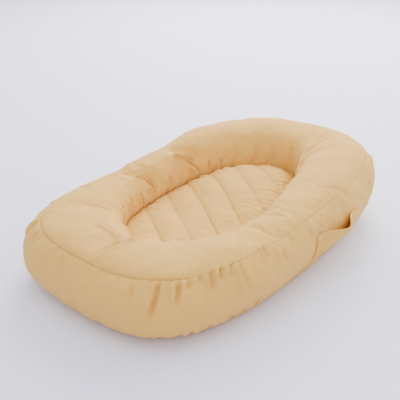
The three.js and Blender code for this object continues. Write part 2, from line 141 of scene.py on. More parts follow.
class LoungerCloth(bpy.types.PropertyGroup):
    """How full, gathered and creased the cloth is"""

    pressure: FloatProperty(
        name="Fill pressure", description="Pressure of the filling", default=4.0)
    frames: IntProperty(name="Frames", description="Frames that the cloth settles for", default=16)
    slack: FloatProperty(
        name="Slack", description="Share by which the cloth is larger than its form", default=0.014)
    reach: FloatProperty(
        name="Reach", description="Most that the cloth may move while it settles", unit="LENGTH",
        default=0.006)
    cover: FloatProperty(
        name="Cover", description="Thickness of the cover", unit="LENGTH", default=0.0012)
    casing: FloatProperty(
        name="Casing", description="Thickness of the casing", unit="LENGTH", default=0.0008)
    gap: FloatProperty(
        name="Gap", description="Space between layers", unit="LENGTH", default=0.0005)
    quilt_spacing: FloatProperty(
        name="Quilt spacing", description="Distance between quilting lines, along the lounger",
        unit="LENGTH", default=0.0665)
    quilt_lean: FloatProperty(
        name="Quilt lean", description="How far a quilting line moves along per unit across",
        default=0.68)
    quilt_height: FloatProperty(
        name="Quilt height", description="Rise of the quilted channels", unit="LENGTH",
        default=0.0058)
    folds: FloatProperty(name="Folds", description="How deep the sharp folds are", default=2.1)
    seed: IntProperty(name="Seed", description="Seed of the cloth's irregularities", default=11)


class LoungerColours(bpy.types.PropertyGroup):
    """Colours of the cloths and the zip"""

    cover: FloatVectorProperty(
        name="Cover", description="The cover's cotton", subtype="COLOR", size=3,
        default=(0.73, 0.395, 0.064))
    casing: FloatVectorProperty(
        name="Casing", description="The insert's cotton", subtype="COLOR", size=3,
        default=(0.86, 0.84, 0.79))
    fibre: FloatVectorProperty(
        name="Fibre", description="The fibre filling", subtype="COLOR", size=3,
        default=(0.90, 0.89, 0.86))
    tape: FloatVectorProperty(
        name="Zip tape", description="The zip's tapes", subtype="COLOR", size=3,
        default=(0.62, 0.46, 0.27))
    coil: FloatVectorProperty(
        name="Zip coil", description="The zip's nylon coil", subtype="COLOR", size=3,
        default=(0.60, 0.45, 0.27))
    metal: FloatVectorProperty(
        name="Zip metal", description="Slider, pull and stops", subtype="COLOR", size=3,
        default=(0.72, 0.53, 0.26))
    label: FloatVectorProperty(
        name="Label", description="The blank care label", subtype="COLOR", size=3,
        default=(0.88, 0.87, 0.84))


class LoungerStage(bpy.types.PropertyGroup):
    """Floor, light and camera"""

    floor: FloatVectorProperty(
        name="Floor", description="Colour of the floor", subtype="COLOR", size=3,
        default=(0.82, 0.81, 0.92))
    azimuth: FloatProperty(
        name="Azimuth", description="Camera's angle round the lounger", subtype="ANGLE",
        default=math.radians(-49.8))
    elevation: FloatProperty(
        name="Elevation", description="Camera's angle above the floor", subtype="ANGLE",
        default=math.radians(26.1))
    distance: FloatProperty(
        name="Distance", description="From the camera to its aim", unit="LENGTH", default=1.477)
    aim: FloatVectorProperty(
        name="Aim", description="Where the camera looks, from the ring's middle", subtype="XYZ",
        size=3, unit="LENGTH", default=(0.0209, 0.0612, 0.060))
    lens: FloatProperty(
        name="Lens", description="Focal length", subtype="DISTANCE_CAMERA", default=63.0)


SETTINGS = {
    "lounger_shape": LoungerShape,
    "lounger_cloth": LoungerCloth,
    "lounger_colours": LoungerColours,
    "lounger_stage": LoungerStage,
}


# ------------------------------------------------------------------ shader maths
class Wire:
    """A node socket that can be used in Python expressions."""

    def __init__(self, tree, socket):
        self.tree = tree
        self.socket = socket

    def make(self, operation, *values):
        return self.tree.node("ShaderNodeMath", {"operation": operation}, dict(enumerate(values)))

    def __add__(self, other):
        return self.make("ADD", self, other)

    def __mul__(self, other):
        return self.make("MULTIPLY", self, other)

    def __rsub__(self, other):
        return self.make("SUBTRACT", other, self)

    __radd__ = __add__
    __rmul__ = __mul__

    def sine(self):
        return self.make("SINE", self)

    def size(self):
        return self.make("ABSOLUTE", self)

    def above(self, other):
        return self.make("GREATER_THAN", self, other)


class Finish:
    """One material and its nodes."""

    def __init__(self, name, color, **constants):
        self.material = bpy.data.materials.new(name)
        self.material.use_nodes = True
        self.nodes = self.material.node_tree.nodes
        self.links = self.material.node_tree.links
        self.shader = self.nodes["Principled BSDF"]
        self.shader.inputs["Base Color"].default_value = (*color, 1)
        for key, value in constants.items():
            socket = "Specular IOR Level" if key == "specular" else key.replace("_", " ").title()
            self.shader.inputs[socket].default_value = value

    def node(self, kind, settings=None, inputs=None, output=0):
        made = self.nodes.new(kind)
        for key, value in (settings or {}).items():
            setattr(made, key, value)
        for key, value in (inputs or {}).items():
            self.feed(made.inputs[key], value)
        return Wire(self, made.outputs[output])

    def feed(self, socket, value):
        if isinstance(value, Wire):
            self.links.new(value.socket, socket)
        else:
            socket.default_value = value

    def output(self, wire, name):
        return Wire(self, wire.socket.node.outputs[name])

    def set(self, name, value):
        self.feed(self.shader.inputs[name], value)

    def mix(self, share, first, second):
        return self.node(
            "ShaderNodeMix", {"data_type": "RGBA"}, {0: share, 6: first, 7: second}, output=2)

    def noise(self, scale, detail=2.0, where=None):
        inputs = {"Scale": scale, "Detail": detail}
        inputs["Vector"] = where or self.node("ShaderNodeTexCoord", output=3)
        return self.node("ShaderNodeTexNoise", {}, inputs)

    def bump(self, height, strength, distance, under=None):
        inputs = {"Height": height, "Strength": strength, "Distance": distance}
        if under is not None:
            inputs["Normal"] = under
        return self.node("ShaderNodeBump", {}, inputs)


def shade(color, share):
    """The colour, lightened or darkened by a share, as four numbers."""
    return (*[min(1.0, max(0.0, c * (1 + share))) for c in color], 1)


def woven(name, color, pitch, depth, tint=0.05, roughness=0.88, sheen=0.06):
    """Plain-weave cloth, its threads following the piece's own UV map, which is in metres."""
    cloth = Finish(name, color, sheen_weight=sheen, sheen_roughness=0.5)
    place = cloth.node("ShaderNodeUVMap", {"uv_map": "cloth"})
    split = cloth.node("ShaderNodeSeparateXYZ", {}, {0: place})
    turn = 2 * math.pi / pitch
    warp = (cloth.output(split, "X") * turn).sine()
    weft = (cloth.output(split, "Y") * turn).sine()
    over = (warp * weft).above(0.0)
    threads = over * warp.size() + (1 - over) * weft.size()
    slub = cloth.noise(260.0, 3.0)
    cloudy = cloth.noise(9.0, 3.0)
    # The colour is painted lighter on the threads' crowns and darker in the hollows between them,
    # in step with the weave's bump: painted shade. The slubs and the cloudy noise add tone that
    # differs at random.
    tone_and_weave_shade = threads * 0.35 + slub * 0.35 + cloudy * 0.5
    cloth.set("Base Color", cloth.mix(tone_and_weave_shade, shade(color, -tint), shade(color, tint)))
    cloth.set("Roughness", roughness - 0.08 * slub)
    weave = cloth.bump(threads + slub * 0.6, 0.5, depth)
    crumple = cloth.bump(cloth.noise(95.0, 4.0), 0.25, 0.0006, under=weave)
    cloth.set("Normal", crumple)
    return cloth.material


def fleecy(name, color):
    """Loose fibre: a soft clumpy surface."""
    fleece = Finish(name, color, roughness=0.97, sheen_weight=0.4)
    clumps = fleece.noise(55.0, 6.0)
    hairs = fleece.noise(480.0, 3.0)
    fleece.set("Base Color", fleece.mix(clumps, shade(color, -0.07), shade(color, 0.05)))
    fleece.set("Normal", fleece.bump(clumps + hairs * 0.4, 0.6, 0.002))
    return fleece.material


def cast_metal(name, color):
    """Small plated metal parts with a patchy, lighter and darker tone and fine scratches."""
    metal = Finish(name, color, metallic=1.0, specular=0.5)
    haze = metal.noise(340.0, 4.0)
    scratch = metal.noise(1500.0, 2.0)
    metal.set("Base Color", metal.mix(haze, shade(color, -0.12), shade(color, 0.15)))
    metal.set("Roughness", 0.24 + 0.22 * haze)
    metal.set("Normal", metal.bump(scratch, 0.2, 0.0001))
    return metal.material


def moulded(name, color):
    """Nylon coil: slightly glossy, with a faint drawn grain."""
    nylon = Finish(name, color, coat_weight=0.1)
    grain = nylon.noise(900.0, 2.0)
    nylon.set("Base Color", nylon.mix(grain, shade(color, -0.08), shade(color, 0.08)))
    nylon.set("Roughness", 0.34 + 0.15 * grain)
    nylon.set("Normal", nylon.bump(grain, 0.15, 0.0001))
    return nylon.material


MATERIAL_MAKERS = {
    "cover_cotton": lambda c: woven("cover_cotton_look", c.cover, 0.0011, 0.0003),
    "casing_cotton": lambda c: woven("casing_cotton_look", c.casing, 0.0008, 0.0002, tint=0.03),
    "baffle_cloth": lambda c: woven("baffle_cloth_look", c.casing, 0.0014, 0.0003, tint=0.04),
    "fibre_fill": lambda c: fleecy("fibre_fill_look", c.fibre),
    "zip_tape": lambda c: woven("zip_tape_look", c.tape, 0.0009, 0.0003, tint=0.08, sheen=0.1),
    "zip_coil": lambda c: moulded("zip_coil_look", c.coil),
    "zip_metal": lambda c: cast_metal("zip_metal_look", c.metal),
    "label_cloth": lambda c: woven(
        "label_cloth_look", c.label, 0.0007, 0.0001, tint=0.02, roughness=0.6),
}


def material(slot):
    """The one material of a slot, made when it is first asked for."""
    made = bpy.data.materials.get(slot + "_look")
    return made or MATERIAL_MAKERS[slot](bpy.context.scene.lounger_colours)


# ------------------------------------------------------------------ the ring's form
def signed_power(value, power):
    """A power that keeps its value's sign."""
    return np.sign(value) * np.abs(value) ** power


def spread(turn, power):
    """How far out a squarish oval of size 1 reaches at a turn."""
    return (np.abs(np.cos(turn)) ** power + np.abs(np.sin(turn)) ** power) ** (-1 / power)


def smooth(low, high, value):
    """0 below low, 1 above high, and an S-curve between."""
    share = np.clip((value - low) / (high - low), 0.0, 1.0)
    return share * share * (3 - 2 * share)


def outer_edge(turn):
    """The ring's outline, from its middle."""
    shape = bpy.context.scene.lounger_shape
    k = spread(turn, shape.outline_power)
    x = shape.length / 2 * np.cos(turn) * k
    y = shape.width / 2 * np.sin(turn) * k * (1 + shape.outline_taper * x / (shape.length / 2))
    return x, y


def nest_size():
    """Half length, half width and middle of the nest, from the ring's middle."""
    shape = bpy.context.scene.lounger_shape
    half = (shape.length - shape.foot_bolster - shape.head_bolster) / 2
    return half, shape.width / 2 - shape.side_bolster, (shape.foot_bolster - shape.head_bolster) / 2


def nest_edge(turn):
    """The nest's outline, from the ring's middle."""
    half, side, middle = nest_size()
    k = spread(turn, bpy.context.scene.lounger_shape.nest_power)
    return middle + half * np.cos(turn) * k, side * np.sin(turn) * k


def ring_point(turn, angle, depth=0.0):
    """Points of the ring at a turn round it and an angle round its section, in metres."""
    shape = bpy.context.scene.lounger_shape
    ox, oy = outer_edge(turn)
    ix, iy = nest_edge(turn)
    wide = np.hypot(ox - ix, oy - iy)
    high = (shape.foot_height + shape.head_height) / 2
    high = high + (shape.head_height - shape.foot_height) * ox / shape.length
    middle = high * shape.section_middle
    across = signed_power(np.cos(angle), 2 / shape.section_power)
    up = signed_power(np.sin(angle), 2 / shape.section_power)
    share = 0.5 + (0.5 - depth / wide) * across
    low = np.maximum(depth, middle + (middle + shape.settle - depth) * up)
    z = np.where(up > 0, middle + (high - middle - depth) * up, low)
    x = ix + (ox - ix) * share + RING_CENTRE.x
    y = iy + (oy - iy) * share + RING_CENTRE.y
    return np.stack(np.broadcast_arrays(x, y, z), -1)


def even_steps(values, lengths, count, closed=False):
    """Values picked so that the lengths between them are equal."""
    goal = np.linspace(0, lengths[-1], count, endpoint=not closed)
    return np.interp(goal, lengths, values)


def run_lengths(points):
    """The length along a line of points, at each of them."""
    return np.concatenate([[0], np.cumsum(np.linalg.norm(np.diff(points, axis=0), axis=1))])


def grid_normals(points):
    """Outward normals of a grid that closes both ways."""
    along = np.roll(points, -1, 0) - np.roll(points, 1, 0)
    across = np.roll(points, -1, 1) - np.roll(points, 1, 1)
    normal = np.cross(along, across)
    return normal / np.maximum(np.linalg.norm(normal, axis=-1, keepdims=True), 1e-12)


class Ring:
    """The bolster ring as one grid, stations round the ring by rows round its section.

    The rows start at the base seam and pass the shoulder seam and the nest seam.
    """

    def __init__(self):
        dense = np.linspace(0, 2 * math.pi, 4001)
        shoulder = math.radians(SHOULDER_SEAM)
        lengths = run_lengths(ring_point(dense, shoulder))
        # stations stand closer at the foot's corners and at the sides, where the folds are
        side = np.degrees(np.minimum(dense, 2 * math.pi - dense))
        corner = np.clip(1.4 - np.abs(side - 135) / 36, 0, 1)
        closer = 1 + corner + 0.7 * np.clip(1.4 - np.abs(side - 88) / 26, 0, 1)
        steps = np.diff(lengths) * (closer[1:] + closer[:-1]) / 2
        lengths = np.concatenate([[0], np.cumsum(steps)])
        self.turn = even_steps(dense, lengths, STATIONS, closed=True)
        parts = []
        edges = (BASE_SEAM, SHOULDER_SEAM, NEST_SEAM, BASE_SEAM + 360)
        typical = math.radians(70)  # the turn whose section sets the rows' spacing
        for low, high, count in zip(edges, edges[1:], (BAND_ROWS, RIM_ROWS, INNER_ROWS)):
            angles = np.radians(np.linspace(low, high, 600))
            lengths = run_lengths(ring_point(typical, angles))
            parts.append(even_steps(angles, lengths, count + 1)[:-1])
        self.angle = np.concatenate(parts)
        self.form = ring_point(self.turn[:, None], self.angle[None, :])
        self.normal = grid_normals(self.form)
        middle = self.form[:, BAND_ROWS]
        steps = np.linalg.norm(np.roll(middle, -1, 0) - middle, axis=1)
        self.along = np.concatenate([[0], np.cumsum(steps)])
        sample = ring_point(typical, np.append(self.angle, self.angle[0] + 2 * math.pi))
        self.across = run_lengths(sample)
        self.degrees = np.degrees(self.turn)

    @property
    def shoulder(self):
        return BAND_ROWS

    @property
    def nest(self):
        return BAND_ROWS + RIM_ROWS


def catmull(values, factor, axis):
    """A closed grid made finer along one axis, on smooth curves through its points."""
    before, after, far = (np.roll(values, step, axis) for step in (1, -1, -2))
    parts = []
    for step in range(factor):
        t = step / factor
        parts.append(
            0.5 * (2 * values + (after - before) * t
                   + (2 * before - 5 * values + 4 * after - far) * t * t
                   + (3 * values - before - 3 * after + far) * t ** 3))
    stacked = np.stack(parts, axis + 1)
    shape = list(values.shape)
    shape[axis] *= factor
    return stacked.reshape(shape)


# ------------------------------------------------------------------ irregular surfaces
def waves(points, length, seed, count=14):
    """Smooth irregular values of about -1 to 1, with bumps of about that length, in space."""
    rng = np.random.default_rng(seed)
    total = np.zeros(points.shape[:-1])
    for _ in range(count):
        direction = rng.normal(size=3)
        direction /= np.linalg.norm(direction)
        rate = 2 * math.pi / (length * rng.uniform(0.75, 1.5))
        total += np.sin(points @ direction * rate + rng.uniform(0, 2 * math.pi))
    return total / math.sqrt(count)


def ripples(share, across, low, high, seed, lean=0.0, count=10):
    """Ripples that run across a closed band: share goes once round it, low to high per round."""
    rng = np.random.default_rng(seed)
    total = np.zeros(np.broadcast(share, across).shape)
    for _ in range(count):
        number = int(rng.integers(low, high))
        drift = rng.normal() * lean
        total += np.cos(2 * math.pi * number * share + rng.uniform(0, 2 * math.pi) + drift * across)
    return total / math.sqrt(count)


# ------------------------------------------------------------------ cloth simulation
def settle(points, faces, pinned, pressure, slack, frames, reach):
    mesh = bpy.data.meshes.new("settling")
    mesh.from_pydata(points.tolist(), [], faces)
    cloth = bpy.data.objects.new("settling", mesh)
    bpy.context.scene.collection.objects.link(cloth)
    group = cloth.vertex_groups.new(name="sewn")
    levels = np.round(pinned * 10).astype(int)
    for level in range(1, 11):
        group.add([int(i) for i in np.flatnonzero(levels == level)], level / 10, "REPLACE")
    modifier = cloth.modifiers.new("Cloth", "CLOTH")
    settings = modifier.settings
    settings.quality = 4
    settings.mass = 0.2
    settings.tension_stiffness = 12
    settings.compression_stiffness = 8
    settings.shear_stiffness = 4
    settings.bending_stiffness = 0.6
    settings.air_damping = 3
    settings.use_pressure = True
    settings.uniform_pressure_force = pressure
    settings.shrink_min = -slack
    settings.vertex_group_mass = "sewn"
    settings.pin_stiffness = 4
    settings.effector_weights.gravity = 0
    modifier.collision_settings.use_collision = False
    modifier.point_cache.frame_start = 1
    modifier.point_cache.frame_end = frames
    scene = bpy.context.scene
    for step in range(1, frames + 1):
        scene.frame_set(step)
    done = cloth.evaluated_get(bpy.context.evaluated_depsgraph_get()).to_mesh()
    moved = np.zeros(len(points) * 3, np.float32)
    done.vertices.foreach_get("co", moved)
    bpy.data.objects.remove(cloth)
    scene.frame_set(1)
    shift = moved.reshape(-1, 3).astype(float) - points
    length = np.linalg.norm(shift, axis=1, keepdims=True)
    return points + shift * (reach * np.tanh(length / reach) / np.maximum(length, 1e-9))


# ------------------------------------------------------------------ pieces from grids
def grid_faces(stations, rows, around, closed):
    """Faces of a grid of points, stations by rows. around closes the stations, closed the rows."""
    last = stations if around else stations - 1
    end = rows if closed else rows - 1
    i, j = np.meshgrid(np.arange(last), np.arange(end), indexing="ij")
    n, m = (i + 1) % stations, (j + 1) % rows
    corners = [i * rows + j, n * rows + j, n * rows + m, i * rows + m]
    return np.stack(corners, -1).reshape(-1, 4).tolist()


def new_piece(name, points, faces, slot, uv=None, round_length=None):
    """A mesh object with its place in its mesh, its material and its cloth map in metres.

    round_length is the length once round a closed grid, whose map would jump back to 0 there.
    """
    mesh = bpy.data.meshes.new(name)
    mesh.from_pydata(np.asarray(points).reshape(-1, 3).tolist(), [], faces)
    if uv is not None:
        corners = np.zeros(len(mesh.loops), np.int32)
        mesh.loops.foreach_get("vertex_index", corners)
        layer = mesh.uv_layers.new(name="cloth")
        places = np.asarray(uv, np.float32).reshape(-1, 2)[corners]
        if round_length:
            along = places[:, 0].reshape(-1, 4).copy()
            jump = np.ptp(along, axis=1, keepdims=True) > round_length / 2
            places[:, 0] = (along + jump * (along < round_length / 2) * round_length).ravel()
        layer.data.foreach_set("uv", places.ravel())
    mesh.shade_smooth()
    mesh.update()
    piece = bpy.data.objects.new(name, mesh)
    bpy.context.scene.collection.objects.link(piece)
    mesh.materials.append(material(slot))
    return piece


def use_only(piece):
    """Makes a piece the active one, with nothing else selected."""
    bpy.ops.object.select_all(action="DESELECT")
    piece.select_set(True)
    bpy.context.view_layer.objects.active = piece


def apply_modifier(piece, kind, **settings):
    """Adds a modifier to a piece and applies it."""
    use_only(piece)
    modifier = piece.modifiers.new(kind.title(), kind)
    for key, value in settings.items():
        setattr(modifier, key, value)
    bpy.ops.object.modifier_apply(modifier=modifier.name)


def thicken(piece, thickness):
    """Gives a sheet its thickness, inwards from the face it was made on."""
    apply_modifier(piece, "SOLIDIFY", thickness=thickness, offset=-1.0)


def finish_piece(piece, body, slot, *nodes):
    """Puts a finished piece on its body and in place of its CAD nodes. Its slot is not used."""
    if not piece.data.polygons:
        raise RuntimeError(f"{piece.name} has no faces")
    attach(piece, body)
    if nodes:
        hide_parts(*nodes)
    return piece


# ------------------------------------------------------------------ the filled cover
FOLD_STEPS = 48  # points along a fold's path


class Relief:
    """Heights over the ring's form, outwards along its normals, in metres."""

    def __init__(self, ring):
        self.ring = ring
        self.height = np.zeros(ring.form.shape[:2])
        self.share = (ring.along[:-1] / ring.along[-1])[:, None]  # 0 to 1, once round the ring

    def from_row(self, row):
        """Distance across the cloth from a row, in metres."""
        length = self.ring.across[-1]
        apart = np.abs(self.ring.across[:-1] - self.ring.across[row])
        return np.minimum(apart, length - apart)[None, :]

    def fold(self, path, depth, width, ridge=0.5, fade=0.25):
        """A valley along a path of turns and angles in degrees, with a ridge beside it."""
        path = np.radians(np.array(path, float))
        steps = np.linspace(0, len(path) - 1, FOLD_STEPS)
        turn, angle = (np.interp(steps, np.arange(len(path)), path[:, i]) for i in (0, 1))
        line = ring_point(turn, angle)
        form = self.ring.form
        near = np.all((form > line.min(0) - 4 * width) & (form < line.max(0) + 4 * width), axis=-1)
        offset = form[near][:, None] - line[None]
        distance = np.linalg.norm(offset, axis=-1)
        nearest = distance.argmin(1)
        picked = np.arange(len(nearest))
        apart, way = distance[picked, nearest], offset[picked, nearest]
        tangent = np.gradient(line, axis=0)[nearest]
        side = np.sign(np.einsum("ij,ij->i", np.cross(tangent, self.ring.normal[near]), way))
        share = nearest / (FOLD_STEPS - 1)
        strength = smooth(0, fade, share) * smooth(0, fade, 1 - share)
        valley = -depth * np.exp(-((apart / width) ** 2))
        bank = ridge * depth * np.exp(-(((side * apart - 2.0 * width) / (1.4 * width)) ** 2))
        self.height[near] += strength * (valley + bank)

    def gathers(self, row, amount, reach, low, high, seed, where=1.0):
        """Small puckers that run out from a seam."""
        away = self.from_row(row)
        self.height += where * amount * np.exp(-away / reach) * ripples(
            self.share, away, low, high, seed, lean=12.0)

    def groove(self, row, depth, width):
        """A seam's hollow. The depth may vary round the ring."""
        self.height -= depth * np.exp(-((self.from_row(row) / width) ** 2))


BASE_FOLDS = 72


def around(degrees, middle, half):
    """1 at a turn, falling to 0 at half degrees from it."""
    apart = np.abs((degrees - middle + 180) % 360 - 180)
    return np.clip(1 - apart / half, 0, 1)[:, None]


# Folds in the cover: path of (turn, angle) in degrees, depth, width in mm, ridge, fade
BAND_FOLDS = (
    # gathers under the shoulder seam, round the near foot corner
    (((205.6, 46), (206.4, 34), (207.2, 20)), 2.8, 3.8, 0.5, 0.3),
    (((214.6, 52), (214.9, 38), (214.6, 20), (213.4, -2)), 6.0, 4.6, 0.4, 0.18),
    (((217.4, 52), (217.6, 42), (217.2, 34)), 1.6, 3.4, 0.4, 0.35),
    (((220.6, 50), (221.0, 34), (220.6, 12)), 4.4, 4.4, 0.7, 0.25),
    (((223.4, 53), (223.8, 34)), 3.2, 4.4, 0.6, 0.3),
    (((226.4, 56), (226.8, 42)), 2.4, 4.2, 0.6, 0.3),
    (((229.4, 57), (230.2, 42), (231.0, 26)), 3.6, 4.4, 0.7, 0.25),
    (((232.4, 58), (232.8, 38)), 3.2, 4.2, 0.7, 0.3),
    (((235.2, 57), (235.8, 35)), 2.8, 4.2, 0.7, 0.3),
    (((237.2, 58), (238.4, 44), (239.6, 22), (240.2, 4)), 2.6, 4.4, 0.6, 0.3),
    (((252.0, 40), (252.6, 24), (253.6, 10)), 1.6, 4.4, 0.7, 0.3),
    # beside the sewn end of the strap
    (((264.8, 2), (265.0, -14), (265.4, -30)), 2.8, 3.6, 0.7, 0.3),
    (((269.0, 42), (270.6, 28), (272.0, 16)), 2.2, 3.6, 0.6, 0.35),
    (((302.0, 30), (303.0, 8)), 2.0, 4.0, 0.5, 0.4),
    (((318.0, 50), (318.8, 22)), 2.4, 4.0, 0.6, 0.3),
    (((327.0, 50), (328.2, 30)), 2.0, 3.6, 0.5, 0.35),
    (((338.0, 52), (337.4, 18)), 2.8, 4.4, 0.6, 0.3),
    (((351.0, 50), (351.6, 30)), 2.0, 3.8, 0.5, 0.35),
    (((8.0, 50), (8.8, 12)), 2.4, 4.4, 0.6, 0.3),
    (((24.0, 52), (24.6, 22)), 2.8, 4.2, 0.6, 0.3),
    (((31.0, 52), (30.4, 34)), 2.2, 3.6, 0.5, 0.35),
    (((37.0, 52), (37.8, 10)), 3.4, 4.6, 0.6, 0.3),
    (((58.0, 52), (58.6, 32)), 2.0, 3.8, 0.5, 0.35),
    (((96.0, 52), (96.6, 24)), 2.2, 4.0, 0.5, 0.35),
    (((128.0, 52), (128.6, 26)), 2.4, 4.2, 0.5, 0.35),
    (((142.0, 52), (142.8, 12)), 3.4, 4.6, 0.6, 0.3),
    (((150.0, 50), (150.6, 30)), 2.4, 3.8, 0.5, 0.35),
    (((172.0, 50), (172.8, 22)), 2.0, 4.4, 0.5, 0.35),
)
RIM_FOLDS = (
    # broad hollows over the insert's baffles
    (((107.0, 70), (104.5, 100), (101.5, 140), (100.0, 184)), 8.5, 19.0, 0.0, 0.3),
    (((82.0, 70), (78.5, 100), (72.0, 140), (66.0, 184)), 8.0, 19.0, 0.0, 0.3),
    (((184.0, 60), (183.0, 84), (182.0, 120), (181.0, 180)), 3.6, 24.0, 0.0, 0.3),
    (((141.0, 70), (141.0, 110), (143.0, 180)), 3.4, 24.0, 0.0, 0.3),
    (((38.0, 70), (38.0, 110), (36.0, 184)), 3.6, 24.0, 0.0, 0.3),
    (((258.0, 76), (256.0, 120), (256.0, 184)), 2.6, 26.0, 0.0, 0.3),
    (((318.0, 76), (319.0, 120), (320.0, 184)), 3.2, 26.0, 0.0, 0.3),
    # sharp creases in them
    (((107.4, 106), (105.0, 122), (102.4, 140), (100.8, 158), (100.2, 182)), 5.5, 3.8, 0.9, 0.22),
    (((104.2, 150), (102.8, 168), (101.4, 185)), 3.4, 4.0, 0.8, 0.3),
    (((82.0, 106), (79.0, 120), (75.0, 138), (71.0, 156), (68.4, 168)), 5.2, 3.8, 0.9, 0.25),
    (((76.0, 152), (70.0, 170), (66.6, 186)), 3.0, 4.0, 0.8, 0.3),
    (((61.0, 166), (59.8, 186)), 2.2, 4.4, 0.7, 0.3),
    (((53.0, 170), (51.6, 186)), 1.8, 4.0, 0.6, 0.3),
    (((90.0, 160), (89.0, 186)), 2.6, 4.2, 0.6, 0.3),
    (((114.0, 160), (112.8, 186)), 2.8, 4.4, 0.6, 0.3),
    (((122.0, 154), (124.0, 186)), 3.0, 4.8, 0.7, 0.3),
    (((132.0, 150), (135.0, 186)), 3.4, 5.0, 0.7, 0.3),
    (((140.0, 94), (143.0, 118), (146.0, 146)), 2.4, 7.0, 0.4, 0.35),
    # into the foot end of the nest
    (((158.0, 140), (162.0, 164), (164.0, 187)), 3.4, 5.0, 0.7, 0.3),
    (((158.0, 106), (167.0, 110), (176.0, 111), (183.0, 109), (189.5, 105)), 3.4, 5.0, 0.8, 0.3),
    (((181.0, 88), (186.0, 97), (190.5, 105), (193.0, 120)), 3.2, 4.6, 0.8, 0.3),
    (((186.5, 76), (189.0, 90), (190.5, 103), (192.0, 112)), 2.6, 4.4, 0.7, 0.3),
    (((184.0, 55), (184.6, 66), (186.0, 80), (188.0, 92)), 2.0, 5.0, 0.5, 0.35),
    (((190.5, 100), (194.0, 130), (197.0, 160), (199.0, 186)), 4.0, 8.0, 0.5, 0.3),
    (((206.0, 116), (208.0, 146), (208.6, 186)), 3.4, 5.4, 0.7, 0.28),
    # near side and head
    (((245.6, 68), (246.4, 50), (248.0, 30)), 2.2, 3.6, 0.8, 0.35),
    (((254.0, 150), (252.0, 184)), 2.4, 5.0, 0.6, 0.35),
    (((280.0, 132), (286.0, 150), (294.0, 158)), 2.2, 5.0, 0.6, 0.4),
    (((300.0, 130), (306.0, 148), (314.0, 156)), 2.4, 5.0, 0.6, 0.4),
    (((334.0, 92), (330.0, 116), (326.0, 134)), 2.6, 5.4, 0.6, 0.35),
    (((340.0, 84), (336.0, 104), (333.0, 120)), 2.2, 4.6, 0.6, 0.4),
    (((28.0, 150), (26.0, 184)), 1.6, 6.0, 0.6, 0.3),
    (((14.0, 150), (12.0, 184)), 1.4, 5.4, 0.6, 0.3),
    (((44.0, 140), (41.6, 186)), 1.6, 6.0, 0.7, 0.3),
    (((356.0, 140), (354.0, 184)), 2.4, 5.4, 0.6, 0.35),
    (((342.0, 140), (338.0, 184)), 2.8, 5.6, 0.6, 0.3),
)


ON_FLOOR = 0.004  # cloth lower than this lies on the floor and stays there


def swelled(ring, cloth):
    """The ring's form after its cloth has settled over the filling."""
    along, across = COARSE
    form = ring.form[::along, ::across]
    stations, rows = form.shape[:2]
    pinned = np.zeros((stations, rows))
    for row in (0, ring.nest):
        pinned[:, row // across] = 1.0
    pinned[:, ring.shoulder // across] = seam_seen(ring.degrees[::along])[:, 0]
    pinned[form[..., 2] < ON_FLOOR] = 1.0
    points = form.reshape(-1, 3)
    faces = grid_faces(stations, rows, True, True)
    moved = settle(
        points, faces, pinned.ravel(), cloth.pressure, cloth.slack, cloth.frames, cloth.reach)
    shift = (moved - points).reshape(stations, rows, 3)
    return ring.form + catmull(catmull(shift, along, 0), across, 1)


def under_strap(form):
    """1 where the strap's tabs lie on the cover, falling to 0 round them."""
    x, y, z = np.moveaxis(form, -1, 0)
    near = smooth(0.0, -0.05, y) * smooth(STRAP_LOW.z - 0.02, STRAP_LOW.z, z)
    near = near * (1 - smooth(STRAP_HIGH.z, STRAP_HIGH.z + 0.02, z))
    ends = 0
    for low, high in ((TAB_FOOT_LOW.x, TAB_FOOT_HIGH.x), (TAB_HEAD_LOW.x, TAB_HEAD_HIGH.x)):
        ends = ends + smooth(low - 0.015, low, x) * (1 - smooth(high, high + 0.015, x))
    return near * ends


def seam_seen(turn):
    """How far the shoulder seam pulls into the cloth round the ring, from 0 to 1."""
    foot, strap = around(turn, 186, 62) ** 0.5, around(turn, 274, 12) ** 0.5
    return 0.22 + 0.78 * np.maximum(foot, 0.7 * strap)


def leaned(ring):
    """How far the near side hangs over the nest and is tucked in, and the far side is slimmer."""
    turn, angle = ring.degrees[:, None], np.degrees(ring.angle)[None, :]
    shape = bpy.context.scene.lounger_shape
    lean, tuck, slim = shape.lean, shape.tuck, shape.slim
    towards = ring_point(ring.turn, math.pi) - ring_point(ring.turn, 0.0)
    towards[:, 2] = 0
    towards /= np.linalg.norm(towards, axis=1, keepdims=True)
    head = smooth(238, 300, turn) * (1 - smooth(322, 352, turn))
    over = lean * head * smooth(72, 130, angle) * (1 - smooth(192, 240, angle))
    side = smooth(212, 246, turn) * (1 - smooth(322, 346, turn))
    under = tuck * side * ((1 - smooth(-30, 12, angle)) + smooth(240, 295, angle))
    far = smooth(56, 88, turn) * (1 - smooth(108, 142, turn))
    inner = smooth(70, 140, angle) * (1 - smooth(250, 290, angle))
    shift = towards[:, None] * (over + under + slim * far * (1 - inner))[..., None]
    shift[..., 2] -= 0.9 * slim * far * np.exp(-(((angle - 85) / 48) ** 2))
    shift[..., 2] += 0.18 * lean * head * np.exp(-(((angle - 105) / 34) ** 2))
    return shift


